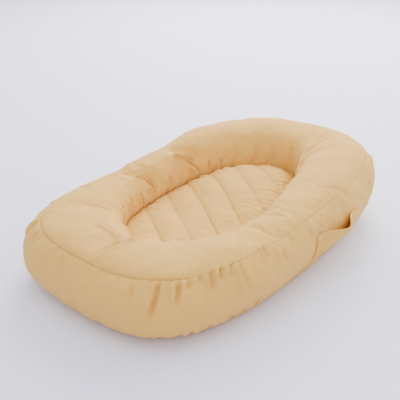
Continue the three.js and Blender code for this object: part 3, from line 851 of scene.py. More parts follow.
def relief_of(ring, cloth):
    """The cover's folds, gathers and seams, as heights over the ring's form."""
    relief = Relief(ring)
    form, seed = ring.form, cloth.seed
    upper = smooth(ON_FLOOR, 0.03, form[..., 2])
    relief.height += upper * (
        0.0022 * waves(form, 0.16, seed) + 0.0007 * waves(form, 0.06, seed + 1)
        + 0.00035 * waves(form, 0.024, seed + 2))
    for path, depth, width, ridge, fade in BAND_FOLDS + RIM_FOLDS:
        deep, narrow = (cloth.folds, 0.85) if width < 10 else (1.35, 0.85)
        relief.fold(path, deep * depth * MM, narrow * width * MM, ridge, fade)
    # short folds up from the base seam, longest at the near foot corner
    rng = np.random.default_rng(seed + 8)
    for step in range(BASE_FOLDS):
        t = 360 / BASE_FOLDS * step + rng.uniform(-1.2, 1.2)
        near = max(0.0, 1 - abs(t - 238) / 50)
        depth = (1.6 + 3.2 * near) * rng.uniform(0.7, 1.2)
        top = -34 + 26 * near * rng.uniform(0.5, 1.1)
        path = ((t, -59), (t + 0.5, (top - 59) / 2), (t, top))
        relief.fold(path, depth * MM, 3.4 * MM, 0.35, 0.3)
    turn = ring.degrees
    fuller = 0.45 + 0.9 * around(turn, 222, 40) + 0.5 * around(turn, 140, 30)
    fuller = fuller + 0.5 * around(turn, 40, 30) + 0.4 * around(turn, 320, 30)
    relief.gathers(ring.shoulder, 0.0005, 0.010, 110, 230, seed + 3, where=fuller)
    relief.gathers(ring.nest, 0.0015, 0.015, 28, 62, seed + 4)
    relief.gathers(ring.nest, 0.0008, 0.008, 80, 150, seed + 5)
    relief.gathers(0, 0.0016, 0.016, 60, 110, seed + 6, where=0.5 + 0.8 * around(turn, 240, 60))
    relief.gathers(0, 0.0009, 0.010, 120, 240, seed + 7)
    relief.groove(ring.shoulder, seam_seen(turn) * 0.0014, 0.0022)
    relief.groove(ring.nest, 0.0016 + 0.0024 * around(turn, 110, 70) ** 0.5, 0.008)
    relief.groove(0, 0.0016, 0.004)
    return relief.height * (1 - 0.8 * under_strap(form))


class Cover:
    """The ring's cloth as it lies: its points, and the lowest of how far it went from the form."""

    def __init__(self):
        cloth = bpy.context.scene.lounger_cloth
        self.ring = ring = Ring()
        height = relief_of(ring, cloth)
        self.points = swelled(ring, cloth) + ring.normal * height[..., None] + leaned(ring)
        self.points[..., 2] = np.maximum(self.points[..., 2], 1.3 * cloth.cover)
        out = np.einsum("ijk,ijk->ij", self.points - ring.form, ring.normal)
        self.low = out.copy()
        for axis, count in ((0, 5), (1, 3)):
            for step in range(-count, count + 1):
                self.low = np.minimum(self.low, np.roll(out if axis == 0 else self.low, step, axis))

    def inside(self, turns, rows, depth):
        """Points of a layer that lies depth under the lowest of the cloth near them."""
        ring = self.ring
        known = np.append(ring.turn, 2 * math.pi)
        place = np.interp(turns % (2 * math.pi), known, np.arange(STATIONS + 1))
        first = np.floor(place).astype(int)
        share = (place - first)[:, None]
        a, b = first % STATIONS, (first + 1) % STATIONS
        rows = np.asarray(rows) % len(ring.angle)
        low = self.low[a][:, rows] * (1 - share) + self.low[b][:, rows] * share
        low = np.minimum(low, 0.004)
        share = share[..., None]
        normal = ring.normal[a][:, rows] * (1 - share) + ring.normal[b][:, rows] * share
        points = ring_point(np.asarray(turns)[:, None], ring.angle[rows][None, :], depth)
        points = points + normal * low[..., None]
        points[..., 2] = np.maximum(points[..., 2], depth)
        return points


KEPT = {}


def cover():
    """The ring's cloth, worked out once for all the pieces."""
    if "cover" not in KEPT:
        KEPT["cover"] = Cover()
    return KEPT["cover"]


def ring_piece(name, first, last, slot):
    """A stretch of the cover between two seams, as thick as its cloth."""
    made = cover()
    ring = made.ring
    rows = np.arange(first, last + 1)
    points = made.points[:, rows % len(ring.angle)]
    uv = np.stack(np.broadcast_arrays(ring.along[:-1, None], ring.across[rows][None, :]), -1)
    faces = grid_faces(STATIONS, len(rows), True, False)
    piece = new_piece(name, points, faces, slot, uv, round_length=ring.along[-1])
    thicken(piece, bpy.context.scene.lounger_cloth.cover)
    return piece


# ------------------------------------------------------------------ the quilted nest floor
PANEL_ROWS = 50
PAD_ROWS = 26  # rows of the pad's layers, which lie under the panel's
QUILT_START = (0.011, 0.060)  # a place on one quilting line, from the ring's middle


def quilting(points, cloth):
    """Across the quilted channels: 0 and 1 at a channel's two seams, and which channel it is."""
    along, across = QUILT_START
    place = points[..., 0] - cloth.quilt_lean * (points[..., 1] - RING_CENTRE.y - across) - along
    place = place / cloth.quilt_spacing
    return place - np.floor(place), np.floor(place)


class NestFloor:
    """The centre panel's cloth: rows from the nest seam in to the oval's middle line."""

    def __init__(self):
        cloth = bpy.context.scene.lounger_cloth
        ring = cover().ring
        edge = cover().points[:, ring.nest]
        half, side, middle = nest_size()
        turn = ring.turn
        spine = np.zeros_like(edge)
        spine[:, 0] = RING_CENTRE.x + middle + (half - side) * np.cos(turn)
        spine[:, 1] = RING_CENTRE.y
        head, foot = edge[0, 2], edge[STATIONS // 2, 2]
        spine[:, 2] = foot + (head - foot) * (1 + np.cos(turn) * (half - side) / half) / 2
        outward = np.linspace(1, 0, PANEL_ROWS)[None, :, None]
        points = spine[:, None] + (edge - spine)[:, None] * outward
        inward = 1 - outward[..., 0]
        away = inward * np.linalg.norm(edge - spine, axis=1)[:, None]  # from the nest seam
        rise = 0.006 * (1 - (1 - inward) ** 2)
        frac, channel = quilting(points, cloth)
        puff = np.clip(4 * frac * (1 - frac), 0, 1) ** 0.5
        near_edge = 1 - np.exp(-away / 0.016)
        uneven = 1 + 0.16 * np.sin(channel * 2.7 + 0.6)
        uneven = uneven + 0.14 * waves(points, 0.11, cloth.seed + 20)
        lift = rise + cloth.quilt_height * puff * near_edge * uneven
        lift += near_edge * (0.0016 * waves(points, 0.13, cloth.seed + 21))
        broad = 1 - np.exp(-away / 0.028)
        lift += 0.024 * broad * smooth(-0.08, 0.16, points[..., 0])
        self.form = points + lift[..., None] * np.array([0, 0, 1.0])
        self.points = self.settled(frac, inward, cloth)
        apart = np.minimum(frac, 1 - frac) * cloth.quilt_spacing
        seam = np.exp(-((apart / 0.0022) ** 2)) * near_edge
        small = 0.0002 * waves(points, 0.022, cloth.seed + 22)
        small = small + 0.0005 * waves(points, 0.05, cloth.seed + 23)
        pucker = 0.0009 * np.exp(-apart / 0.010)
        pucker = pucker * waves(points * [0.4, 1, 0], 0.017, cloth.seed + 24)
        share = (ring.along[:-1] / ring.along[-1])[:, None]
        scallop = 0.0010 * np.exp(-away / 0.026) * (1 - np.exp(-away / 0.005))
        scallop = scallop * ripples(share, away, 26, 50, cloth.seed + 25, lean=10.0)
        self.points[..., 2] += (small + pucker) * near_edge - 0.0013 * seam + scallop

    def settled(self, frac, inward, cloth):
        """The panel's points after its cloth has settled, held along the quilting lines."""
        along, across = COARSE
        form = self.form[::along, ::across]
        apart = (np.minimum(frac, 1 - frac) * cloth.quilt_spacing)[::along, ::across]
        pinned = np.exp(-((apart / 0.006) ** 2))
        pinned[:, 0] = 1.0
        stations, rows = form.shape[:2]
        faces = grid_faces(stations, rows, True, False)
        moved = settle(
            form.reshape(-1, 3), faces, pinned.ravel(), cloth.pressure * 0.5, cloth.slack * 0.3,
            cloth.frames, cloth.reach * 0.8)
        shift = catmull(moved.reshape(form.shape) - form, along, 0)
        fade = np.linspace(0, 1, PANEL_ROWS)
        known = fade[::across]
        fine = np.empty_like(self.form)
        for axis in range(3):
            for i in range(STATIONS):
                fine[i, :, axis] = np.interp(fade, known, shift[i, :, axis])
        mirrored = fine[(-np.arange(STATIONS)) % STATIONS]
        blend = smooth(0.6, 1.0, inward)[..., None]
        shared = (fine + mirrored * [1, 0, 1]) / 2
        shared[..., 1] = 0
        return self.form + fine * (1 - blend) + shared * blend

    def layer(self, depth, wall):
        """Points of a layer that lies depth under the lowest of the cloth near them."""
        low = self.points[..., 2].copy()
        for axis, count in ((0, 4), (1, 2)):
            base = low.copy()
            for step in range(-count, count + 1):
                moved = np.roll(base, step, axis)
                if axis == 1 and step > 0:
                    moved[:, :step] = base[:, :1]
                if axis == 1 and step < 0:
                    moved[:, step:] = base[:, -1:]
                low = np.minimum(low, moved)
        pick = np.round(np.linspace(0, PANEL_ROWS - 1, PAD_ROWS)).astype(int)
        points = self.points[::COARSE[0]][:, pick].copy()
        points[..., 2] = low[::COARSE[0]][:, pick] - depth
        middle = points[:, -1:, :2]
        span = points[..., :2] - middle
        length = np.linalg.norm(span, axis=-1, keepdims=True)
        points[..., :2] = middle + span * np.maximum(0, 1 - wall / np.maximum(length, 0.02))
        return points


def nest_floor():
    """The centre panel's cloth, worked out once for the panel and the pad."""
    if "floor" not in KEPT:
        KEPT["floor"] = NestFloor()
    return KEPT["floor"]


def oval_piece(name, grid, slot, thickness=None, sealed=False):
    """A piece from rows of an oval whose last row lies on its middle line, and is sewn shut there.

    A sealed one starts on a middle line too, so it is a closed body.
    """
    stations, rows = grid.shape[:2]
    i, j = np.divmod(np.arange(stations * rows), rows)
    middle = (j == rows - 1) | ((j == 0) & sealed)
    twin = (stations - i) % stations * rows + j
    sewn = np.where(middle & (i > stations // 2), twin, i * rows + j)
    faces = sewn[np.array(grid_faces(stations, rows, True, False))].tolist()
    faces = [list(dict.fromkeys(face)) for face in faces]
    faces = [face for face in faces if len(face) > 2]
    piece = new_piece(name, grid, faces, slot, grid[..., :2])
    clean(piece)
    if thickness:
        thicken(piece, thickness)
    return piece


def clean(piece):
    """Joins points that share a place and drops loose ones."""
    use_only(piece)
    bpy.ops.object.mode_set(mode="EDIT")
    bpy.ops.mesh.select_all(action="SELECT")
    bpy.ops.mesh.remove_doubles(threshold=0.00002)
    bpy.ops.mesh.delete_loose()
    bpy.ops.object.mode_set(mode="OBJECT")


def face_outwards(piece):
    """Turns the faces of a closed piece outwards."""
    use_only(piece)
    bpy.ops.object.mode_set(mode="EDIT")
    bpy.ops.mesh.select_all(action="SELECT")
    bpy.ops.mesh.normals_make_consistent(inside=False)
    bpy.ops.object.mode_set(mode="OBJECT")


def lay_faces(piece, way):
    """Turns the faces of a sheet over if they don't look up, for way 1, or down, for way -1."""
    if way * sum(face.normal.z * face.area for face in piece.data.polygons) < 0:
        piece.data.flip_normals()


# ------------------------------------------------------------------ the base
SEAM_GAP = 0.0004  # half the space between the base's halves, and from them to the tapes


def base_height(x, y):
    """Height of the base cloth's lower face: on the floor under the ring, raised under the nest."""
    half, side, middle = nest_size()
    power = bpy.context.scene.lounger_shape.nest_power
    spot = (np.abs((x - RING_CENTRE.x - middle) / half) ** power
            + np.abs((y - RING_CENTRE.y) / side) ** power) ** (1 / power)
    flat = BASE_TOP - bpy.context.scene.lounger_cloth.cover
    return flat * (1 - smooth(1.0, 1.20, spot))


def base_piece(side, name):
    """One half of the base: from the base seam in to the zip. side is -1 near, 1 far."""
    cloth = bpy.context.scene.lounger_cloth
    ring = cover().ring
    turns = np.arange(0, STATIONS // 2 + 1, 2)
    stations = turns if side > 0 else (STATIONS // 2 + turns) % STATIONS
    edge = cover().points[stations, 0].copy()
    edge[0, 1] = edge[-1, 1] = RING_CENTRE.y + side * SEAM_GAP
    low, high = TAPE_LOW.x - 0.0006, TAPE_HIGH.x + 0.0006
    gap = side * (TAPE_HIGH.y - RING_CENTRE.y + SEAM_GAP)
    x = edge[:, 0]
    open_here = smooth(low - 0.003, low, x) * (1 - smooth(high, high + 0.003, x))
    inner = RING_CENTRE.y + side * SEAM_GAP + (gap - side * SEAM_GAP) * open_here
    steps = 1 - (1 - np.linspace(0, 1, 44)) ** 1.25
    y = edge[:, 1:2] + (inner - edge[:, 1])[:, None] * steps[None, :]
    inwards = smooth(0.0, 0.12, steps)[None, :]
    x = x[:, None] * (1 - inwards) + ring.form[stations, 0, :1] * inwards
    points = np.stack([x, y, base_height(x, y)], -1)
    soft = smooth(0.002, 0.008, points[..., 2])
    hem = 1 - np.exp(-np.abs(y - inner[:, None]) / 0.010)
    broad, fine = (waves(points, size, cloth.seed + k) for size, k in ((0.09, 30), (0.03, 31)))
    points[..., 2] += soft * hem * (0.0011 * broad + 0.0004 * fine - 0.0006)
    from_edge = np.linalg.norm(points[..., :2] - edge[:, None, :2], axis=-1)
    at_edge = np.exp(-(from_edge / 0.006) ** 2)
    points[..., 2] = points[..., 2] * (1 - at_edge) + (edge[:, None, 2] - cloth.cover) * at_edge
    points[..., 2] = np.clip(points[..., 2], 0.0002, TAPE_LOW.z + 0.0003)
    faces = grid_faces(*points.shape[:2], False, False)
    piece = new_piece(name, points, faces, "cover_cotton", points[..., :2])
    lay_faces(piece, -1)
    clean(piece)
    thicken(piece, cloth.cover)
    for vertex in piece.data.vertices:
        vertex.co.z = max(vertex.co.z, 0.0001)
    return piece


# ------------------------------------------------------------------ small built pieces
def slab(name, low, high, bevel=0.0, segments=2):
    """A box between two corners, its edges rounded."""
    bpy.ops.object.select_all(action="DESELECT")
    low, high = Vector(low), Vector(high)
    bpy.ops.mesh.primitive_cube_add(size=1, location=(low + high) / 2)
    made = bpy.context.active_object
    made.name = name
    made.scale = high - low
    bpy.ops.object.transform_apply(location=True, rotation=True, scale=True)
    if bevel:
        apply_modifier(made, "BEVEL", width=bevel, segments=segments, limit_method="NONE")
    return made


def join(name, pieces):
    """The pieces as one object of several shells."""
    bpy.ops.object.select_all(action="DESELECT")
    for piece in pieces:
        piece.select_set(True)
    bpy.context.view_layer.objects.active = pieces[0]
    bpy.ops.object.join()
    made = bpy.context.active_object
    made.name = name
    return made


def unite(name, pieces):
    """The pieces as one body."""
    base = pieces[0]
    for other in pieces[1:]:
        apply_modifier(base, "BOOLEAN", object=other, operation="UNION", solver="EXACT")
        bpy.data.objects.remove(other)
    base.name = name
    return base


def cut(base, tool):
    """Cuts a tool's shape out of a piece."""
    apply_modifier(base, "BOOLEAN", object=tool, operation="DIFFERENCE", solver="EXACT")
    bpy.data.objects.remove(tool)


def smooth_edges(piece, slot):
    """Shades a hard piece smooth up to its sharp edges, and gives it its material."""
    use_only(piece)
    bpy.ops.object.shade_smooth_by_angle(angle=math.radians(35))
    piece.data.materials.clear()
    piece.data.materials.append(material(slot))


def stitches(line, up, pitch=0.0031, length=0.0022, radius=0.00028):
    """Thread stitches along a line of points, as closed shells: their points and faces."""
    run = run_lengths(line)
    count = max(1, int(run[-1] / pitch))
    starts = (np.arange(count) + 0.5) * run[-1] / count
    points, faces = [], []
    for start in starts:
        ends = [
            np.array([np.interp(start + share * length, run, line[:, axis]) for axis in range(3)])
            for share in (-0.5, -0.32, 0.32, 0.5)]
        way = ends[-1] - ends[0]
        way = way / np.linalg.norm(way)
        out = np.array([np.interp(start, run, up[:, a]) for a in range(3)])
        side = np.cross(way, out)
        first = len(points)
        for end, size in zip(ends, (0.35, 1.0, 1.0, 0.35)):
            for k in range(6):
                a = math.pi * k / 3
                points.append(end + radius * size * (math.cos(a) * side + 0.7 * math.sin(a) * out))
        for ringed in range(3):
            for k in range(6):
                a, b = first + ringed * 6 + k, first + ringed * 6 + (k + 1) % 6
                faces.append([a, b, b + 6, a + 6])
        faces.append([first + k for k in reversed(range(6))])
        faces.append([first + 18 + k for k in range(6)])
    return points, faces


def stitched(name, lines, slot):
    """One piece of thread stitches along each of several (line, up) pairs."""
    points, faces = [], []
    for line, up in lines:
        more, sides = stitches(np.asarray(line, float), np.asarray(up, float))
        faces += [[i + len(points) for i in side] for side in sides]
        points += more
    piece = new_piece(name, points, faces, slot, np.asarray(points)[:, :2])
    face_outwards(piece)
    return piece


# ------------------------------------------------------------------ the carry strap
STRAP_THICK = 0.0026
HALF_MM = 23  # half the strap's width
STRAP_HALF = HALF_MM * MM
STRAP_BOW = 0.0145  # how far its middle stands off the cover
STRAP_ROWS = 25
STRAP_MID = STRAP_ROWS // 2
HEM_MM = 3.0  # from the strap's edge to its stitching


def near_side(x, z):
    """Points of the cover's near side at a distance along it and a height."""
    made = cover()
    rows = np.arange(2, BAND_ROWS - 1)
    near = np.arange(STATIONS // 2 + 20, STATIONS - 20)
    smoothed = made.points[near][:, rows]
    for _ in range(6):
        smoothed[1:-1] = (smoothed[:-2] + smoothed[2:] + 2 * smoothed[1:-1]) / 4
    columns = []  # for each row, the y and the z of every point
    for row in range(len(rows)):
        line = smoothed[:, row]
        columns.append([np.interp(x, line[:, 0], line[:, axis]) for axis in (1, 2)])
    columns = np.array(columns)
    result = np.empty(x.shape)
    for k in range(x.size):
        order = np.argsort(columns[:, 1, k])
        result[k] = np.interp(z[k], columns[order, 1, k], columns[order, 0, k])
    return np.stack([x, result, z], -1)


class Strap:
    """The strap's middle surface, from its foot tab to its head tab, stations by rows."""

    def __init__(self):
        tab = 0.6 * (TAB_FOOT_HIGH.x - TAB_FOOT_LOW.x)
        low, high = STRAP_LOW.x, STRAP_HIGH.x
        self.first, self.last = low, high
        span = high - low
        path = np.linspace(low - tab, high + tab, 241)
        p = np.clip((path - low) / span, 0, 1)
        bow = STRAP_BOW * (1 - np.cos(2 * math.pi * p ** 1.06)) / 2
        across = np.linspace(-1, 1, STRAP_ROWS)
        top, bottom = STRAP_HIGH.z, STRAP_LOW.z
        x = np.repeat(path[:, None], STRAP_ROWS, 1)
        w = np.repeat(across[None, :], len(path), 0)
        out = np.repeat(bow[:, None], STRAP_ROWS, 1)
        lean = smooth(0, STRAP_BOW, out)
        tilt = math.radians(30) * lean
        reach = (top - bottom) / 2 * w
        z = (top + bottom) / 2 + reach
        base = near_side(x.ravel(), z.ravel()).reshape(*x.shape, 3)
        base[..., 2] -= reach * (1 - np.cos(tilt))
        even = base[:, :, 1].mean(1, keepdims=True)
        calm = smooth(0.003, 0.013, out)
        base[..., 1] = base[..., 1] * (1 - 0.55 * calm) + even * 0.55 * calm
        base[..., 1] -= 0.0005 + STRAP_THICK / 2 + out + reach * np.sin(tilt)
        base[..., 1] -= lean * (0.0016 * np.cos(2.2 * w) + 0.0012 * waves(base, 0.05, 71))
        base[..., 0] += 0.004 * lean * w * np.sin(2 * math.pi * p)[:, None]
        base[..., 2] += lean * 0.0010 * waves(base, 0.06, 72)
        self.middle = base
        along = np.gradient(base, axis=0)
        sideways = np.gradient(base, axis=1)
        normal = np.cross(along, sideways)
        normal /= np.linalg.norm(normal, axis=-1, keepdims=True)
        normal *= -np.sign(normal[..., 1].mean())
        self.normal = normal
        edge = np.clip((1 - np.abs(w)) * STRAP_HALF / 0.0011, 0, 1)
        self.half = STRAP_THICK / 2 * (0.45 + 0.55 * np.sqrt(edge * (2 - edge)))
        hem = np.exp(-(((1 - np.abs(w)) * HALF_MM - HEM_MM) / 0.7) ** 2)
        self.half = self.half - 0.00022 * hem
        self.across = across
        self.path = path

    def half_piece(self, name, first, last):
        """A closed strip of the strap between two stations."""
        pick = slice(first, last + 1)
        out = self.middle[pick] + self.normal[pick] * self.half[pick][..., None]
        back = self.middle[pick] - self.normal[pick] * self.half[pick][..., None]
        loop = np.concatenate([out, back[:, ::-1]], axis=1)
        stations, rows = loop.shape[:2]
        faces = grid_faces(stations, rows, False, True)
        faces += [list(range(rows))[::-1], [(stations - 1) * rows + k for k in range(rows)]]
        run = run_lengths(self.middle[:, STRAP_MID])[pick]
        width = np.concatenate([self.across, self.across[::-1]]) * STRAP_HALF
        uv = np.stack(np.broadcast_arrays(run[:, None], width[None, :]), -1)
        piece = new_piece(name, loop, faces, "cover_cotton", uv)
        face_outwards(piece)
        return piece

    def line(self, first, last, row, face):
        """A line along the strap, on its outer face, 1, or its inner one, -1."""
        return self.trace(range(first, last + 1), [row] * (last - first + 1), face)

    def trace(self, stations, rows, face=1):
        """A line just over the strap's face, and the way that the face looks along it."""
        a, b = list(stations), list(rows)
        up = self.normal[a, b] * face
        return self.middle[a, b] + up * (self.half[a, b][:, None] + 0.00008), up


# ------------------------------------------------------------------ the insert
INSERT_STATIONS = 40  # equal turns round the ring, which the baffles' places count
BAFFLE_STATIONS = {
    "head": 0, "head_far_corner": 5, "far_head": 9, "far_foot": 11, "foot_far_corner": 15,
    "foot": 20, "foot_near_corner": 25, "near_foot": 29, "near_head": 31, "head_near_corner": 35,
}
CHAMBERS = (
    "head_far", "far_head", "far_middle", "far_foot", "foot_far",
    "foot_near", "near_foot", "near_middle", "near_head", "head_near",
)
FULL_ROWS = np.arange(0, BAND_ROWS + RIM_ROWS + INNER_ROWS, COARSE[1])


def fill_depth():
    """How far the fibre lies under the cover's face."""
    cloth = bpy.context.scene.lounger_cloth
    return cloth.cover + cloth.casing + 2 * cloth.gap


def casing_piece(name, first, last):
    """The ring casing between two of its seams."""
    cloth = bpy.context.scene.lounger_cloth
    ring = cover().ring
    rows = np.arange(first, last + 1, COARSE[1])
    turns = ring.turn[::COARSE[0]]
    points = cover().inside(turns, rows, cloth.cover + cloth.gap)
    across = np.interp(rows, np.arange(len(ring.across)), ring.across)
    uv = np.stack(np.broadcast_arrays(ring.along[:-1:COARSE[0], None], across[None, :]), -1)
    faces = grid_faces(len(turns), len(rows), True, False)
    piece = new_piece(name, points, faces, "casing_cotton", uv, round_length=ring.along[-1])
    thicken(piece, cloth.casing)
    return piece


def ring_block(name, turns, slot):
    """A solid stretch of the ring's inside, its two ends closed."""
    shell = cover().inside(turns, FULL_ROWS, fill_depth())
    ends = []
    for loop in (shell[0], shell[-1]):
        heart = loop.mean(0)
        ends.append(np.stack([heart + (loop - heart) * share for share in (0.85, 0.6, 0.3, 0.0)]))
    grid = np.concatenate([ends[0][::-1], shell, ends[1]])
    stations, rows = grid.shape[:2]
    faces = grid_faces(stations, rows, False, True)
    spacing = 0.006
    uv = np.stack(np.broadcast_arrays(
        np.arange(stations)[:, None] * spacing, np.arange(rows)[None, :] * spacing), -1)
    piece = new_piece(name, grid, faces, slot, uv)
    clean(piece)
    face_outwards(piece)
    return piece


def section_size(turn):
    """Width, height and area of the flat wall that spans the insert at a turn."""
    section = cover().inside(np.array([turn]), FULL_ROWS, fill_depth())[0]
    out = (ring_point(turn, 0.0) - ring_point(turn, math.pi))[:2]
    across, up = section[:, :2] @ out / np.linalg.norm(out), section[:, 2]
    area = abs(np.dot(across, np.roll(up, 1)) - np.dot(up, np.roll(across, 1))) / 2
    return float(np.ptp(across)), float(np.ptp(up)), float(area)


def turn_at(station):
    """The turn round the ring of one of the insert's stations."""
    return 2 * math.pi * station / INSERT_STATIONS


def turn_for(length, station):
    """The turn that moves the ring's middle line by a length, at a station."""
    step, turn = 0.01, turn_at(station)
    before, after = ring_point(np.array([turn - step, turn + step]), math.radians(90))
    return length * 2 * step / float(np.linalg.norm(after - before))


# ------------------------------------------------------------------ operators
class Maker(bpy.types.Operator):
    """What the operators share"""

    bl_options = {"REGISTER", "UNDO"}


class LOUNGER_OT_rim_panel(Maker):
    """Makes the top of the bolster's cover, from the shoulder seam to the nest seam"""

    bl_idname = "lounger.rim_panel"
    bl_label = "Rim panel"

    def execute(self, context):
        ring = cover().ring
        piece = ring_piece("rim_panel_cloth", ring.shoulder, ring.nest, "cover_cotton")
        finish_piece(piece, "lounger", "cover_cotton", "rim_panel")
        return {"FINISHED"}


class LOUNGER_OT_side_band(Maker):
    """Makes the cover's outer side, from the base seam to the shoulder seam"""

    bl_idname = "lounger.side_band"
    bl_label = "Side band"

    def execute(self, context):
        piece = ring_piece("side_band_cloth", 0, cover().ring.shoulder, "cover_cotton")
        finish_piece(piece, "lounger", "cover_cotton", "side_band")
        return {"FINISHED"}


class LOUNGER_OT_centre_panel(Maker):
    """Makes the quilted floor of the nest"""

    bl_idname = "lounger.centre_panel"
    bl_label = "Centre panel"

    def execute(self, context):
        cloth = context.scene.lounger_cloth
        piece = oval_piece("centre_panel_quilt", nest_floor().points, "cover_cotton", cloth.cover)
        finish_piece(piece, "lounger", "cover_cotton", "centre_panel")
        return {"FINISHED"}


class LOUNGER_OT_base_panels(Maker):
    """Makes the two halves of the base, one on each side of the zip"""

    bl_idname = "lounger.base_panels"
    bl_label = "Base panels"

    def execute(self, context):
        for side, word in ((-1, "near"), (1, "far")):
            piece = base_piece(side, f"base_cloth_{word}")
            finish_piece(piece, "lounger", "cover_cotton", f"base_panel_{word}")
        return {"FINISHED"}


class LOUNGER_OT_strap(Maker):
    """Makes the carry strap as two halves that meet in its middle, and its stitching"""

    bl_idname = "lounger.strap"
    bl_label = "Carry strap"

    def execute(self, context):
        strap = Strap()
        last_station = len(strap.path) - 1
        middle = last_station // 2
        edge, ramp = 0.001, 0.034  # the first is how far in from the strap's ends its sewn tabs run
        halves = ((0, middle, "foot", strap.first + edge, strap.first + ramp),
                  (middle, last_station, "head", strap.last - edge, strap.last - ramp))
        for first, last, word, start, end in halves:
            piece = strap.half_piece(f"strap_{word}_half", first, last)
            rows = [round(STRAP_MID + way * STRAP_MID * (1 - HEM_MM / HALF_MM)) for way in (-1, 1)]
            lines = [strap.line(first, last, row, face) for row in rows for face in (1, -1)]
            tab = [i for i in range(first, last + 1)
                   if strap.path[i] < strap.first + edge or strap.path[i] > strap.last - edge]
            inner, outer = (tab[-1], tab[4]) if word == "foot" else (tab[0], tab[-5])
            across = range(2, STRAP_ROWS - 2)
            lines += [strap.trace([end_row] * len(across), across) for end_row in (inner, outer)]
            thread = stitched(f"strap_{word}_stitching", lines, "cover_cotton")
            for made in (piece, thread):
                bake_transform(made)
            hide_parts(f"strap_end_{word}", "carry_strap")
        return {"FINISHED"}


class LOUNGER_OT_insert_casing(Maker):
    """Makes the ring insert's casing, its upper and lower halves"""

    bl_idname = "lounger.insert_casing"
    bl_label = "Insert casing"

    def execute(self, context):
        ring = cover().ring
        outer = int(np.argmin(np.abs(ring.angle)))
        outer -= outer % 2
        top = casing_piece("insert_casing_upper", outer, ring.nest)
        base = casing_piece("insert_casing_lower", ring.nest, outer + len(ring.angle))
        finish_piece(top, "lounger", "casing_cotton", "insert_casing_top")
        finish_piece(base, "lounger", "casing_cotton", "insert_casing_base")
        return {"FINISHED"}


class LOUNGER_OT_baffles(Maker):
    """Makes the walls across the insert that part its chambers"""

    bl_idname = "lounger.baffles"
    bl_label = "Baffles"

    def execute(self, context):
        cloth = context.scene.lounger_cloth
        for word, station in BAFFLE_STATIONS.items():
            half = turn_for(cloth.casing / 2, station)
            turn = turn_at(station)
            turns = np.array([turn - half, turn, turn + half])
            piece = ring_block(f"baffle_wall_{word}", turns, "baffle_cloth")
            finish_piece(piece, "lounger", "baffle_cloth", f"baffle_{word}")
            wide, tall, area = section_size(turn)
        return {"FINISHED"}


class LOUNGER_OT_fills(Maker):
    """Makes the chambers of fibre in the ring"""

    bl_idname = "lounger.fills"
    bl_label = "Chambers"

    def execute(self, context):
        cloth = context.scene.lounger_cloth
        stations = [*BAFFLE_STATIONS.values(), INSERT_STATIONS]
        gap = cloth.casing / 2 + cloth.gap
        for word, first, last in zip(CHAMBERS, stations, stations[1:]):
            low = turn_at(first) + turn_for(gap, first)
            high = turn_at(last) - turn_for(gap, last)
            turns = np.linspace(low, high, 6 * (last - first) + 1)
            piece = ring_block(f"chamber_{word}", turns, "fibre_fill")
            finish_piece(piece, "lounger", "fibre_fill", f"fill_{word}")
        return {"FINISHED"}


class LOUNGER_OT_pad(Maker):
    """Makes the nest's pad: its fibre and the two halves of its casing"""

    bl_idname = "lounger.pad"
    bl_label = "Nest pad"

    def execute(self, context):
        cloth = context.scene.lounger_cloth
        floor = nest_floor()
        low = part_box("pad_casing_base")[0].z
        under = cloth.cover + cloth.gap
        wall = 0.0005  # in from the panel's edge
        top = floor.layer(under, wall)
        skirt = top[:, :1].copy()
        skirt[..., 2] = low + cloth.casing + wall
        skirt = np.concatenate([skirt, skirt * 0.5 + top[:, :1] * 0.5, top], axis=1)
        piece = oval_piece("pad_casing_upper", skirt, "casing_cotton", cloth.casing)
        finish_piece(piece, "lounger", "casing_cotton", "pad_casing_top")
        base = top[:, ::5].copy()
        base[..., 2] = low
        piece = oval_piece("pad_casing_lower", base, "casing_cotton")
        lay_faces(piece, -1)
        thicken(piece, cloth.casing)
        finish_piece(piece, "lounger", "casing_cotton", "pad_casing_base")
        inner = floor.layer(under + cloth.casing + cloth.gap, wall + cloth.casing + cloth.gap)
        under_side = inner[:, ::-1][:, ::3].copy()
        under_side[..., 2] = low + cloth.casing + cloth.gap
        edge = inner[:, :1].copy()
        edge[..., 2] = low + cloth.casing + cloth.gap
        grid = np.concatenate([under_side[:, :-1], edge, inner], axis=1)
        piece = oval_piece("pad_fibre", grid, "fibre_fill", sealed=True)
        finish_piece(piece, "lounger", "fibre_fill", "pad_fill")
        return {"FINISHED"}


class LOUNGER_OT_zip_tapes(Maker):
    """Makes the zip's two tapes and the stitching that holds them to the base"""

    bl_idname = "lounger.zip_tapes"
    bl_label = "Zip tapes"

    def execute(self, context):
        for word, side in (("near", -1), ("far", 1)):
            low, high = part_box(f"zip_tape_{word}")
            across = np.linspace(0, 1, 9)
            x = low.x + (high.x - low.x) * np.linspace(0, 1, 196)
            y = low.y + (high.y - low.y) * across
            z = high.z - 0.00012 - 0.0001 * np.cos(across * 2 * math.pi * 3)
            points = np.stack(np.broadcast_arrays(x[:, None], y[None, :], z[None, :]), -1)
            points[..., 2] += 0.00010 * waves(points, 0.03, 90 + side)
            faces = grid_faces(*points.shape[:2], False, False)
            piece = new_piece(f"zip_tape_{word}_woven", points, faces, "zip_tape", points[..., :2])
            lay_faces(piece, 1)
            thicken(piece, high.z - low.z - 0.0002)
            edge = high.y if side > 0 else low.y
            seam_y, seam_z = edge - side * 0.0016, low.z + 0.00002
            line = np.stack([x, np.full_like(x, seam_y), np.full_like(x, seam_z)], -1)
            up = np.tile([0.0, 0.0, -1.0], (len(x), 1))
            thread = stitched(f"zip_tape_{word}_stitching", [(line[2:-2], up[2:-2])], "zip_tape")
            finish_piece(piece, "lounger", "zip_tape", f"zip_tape_{word}")
            finish_piece(thread, "lounger", "zip_tape")
        return {"FINISHED"}


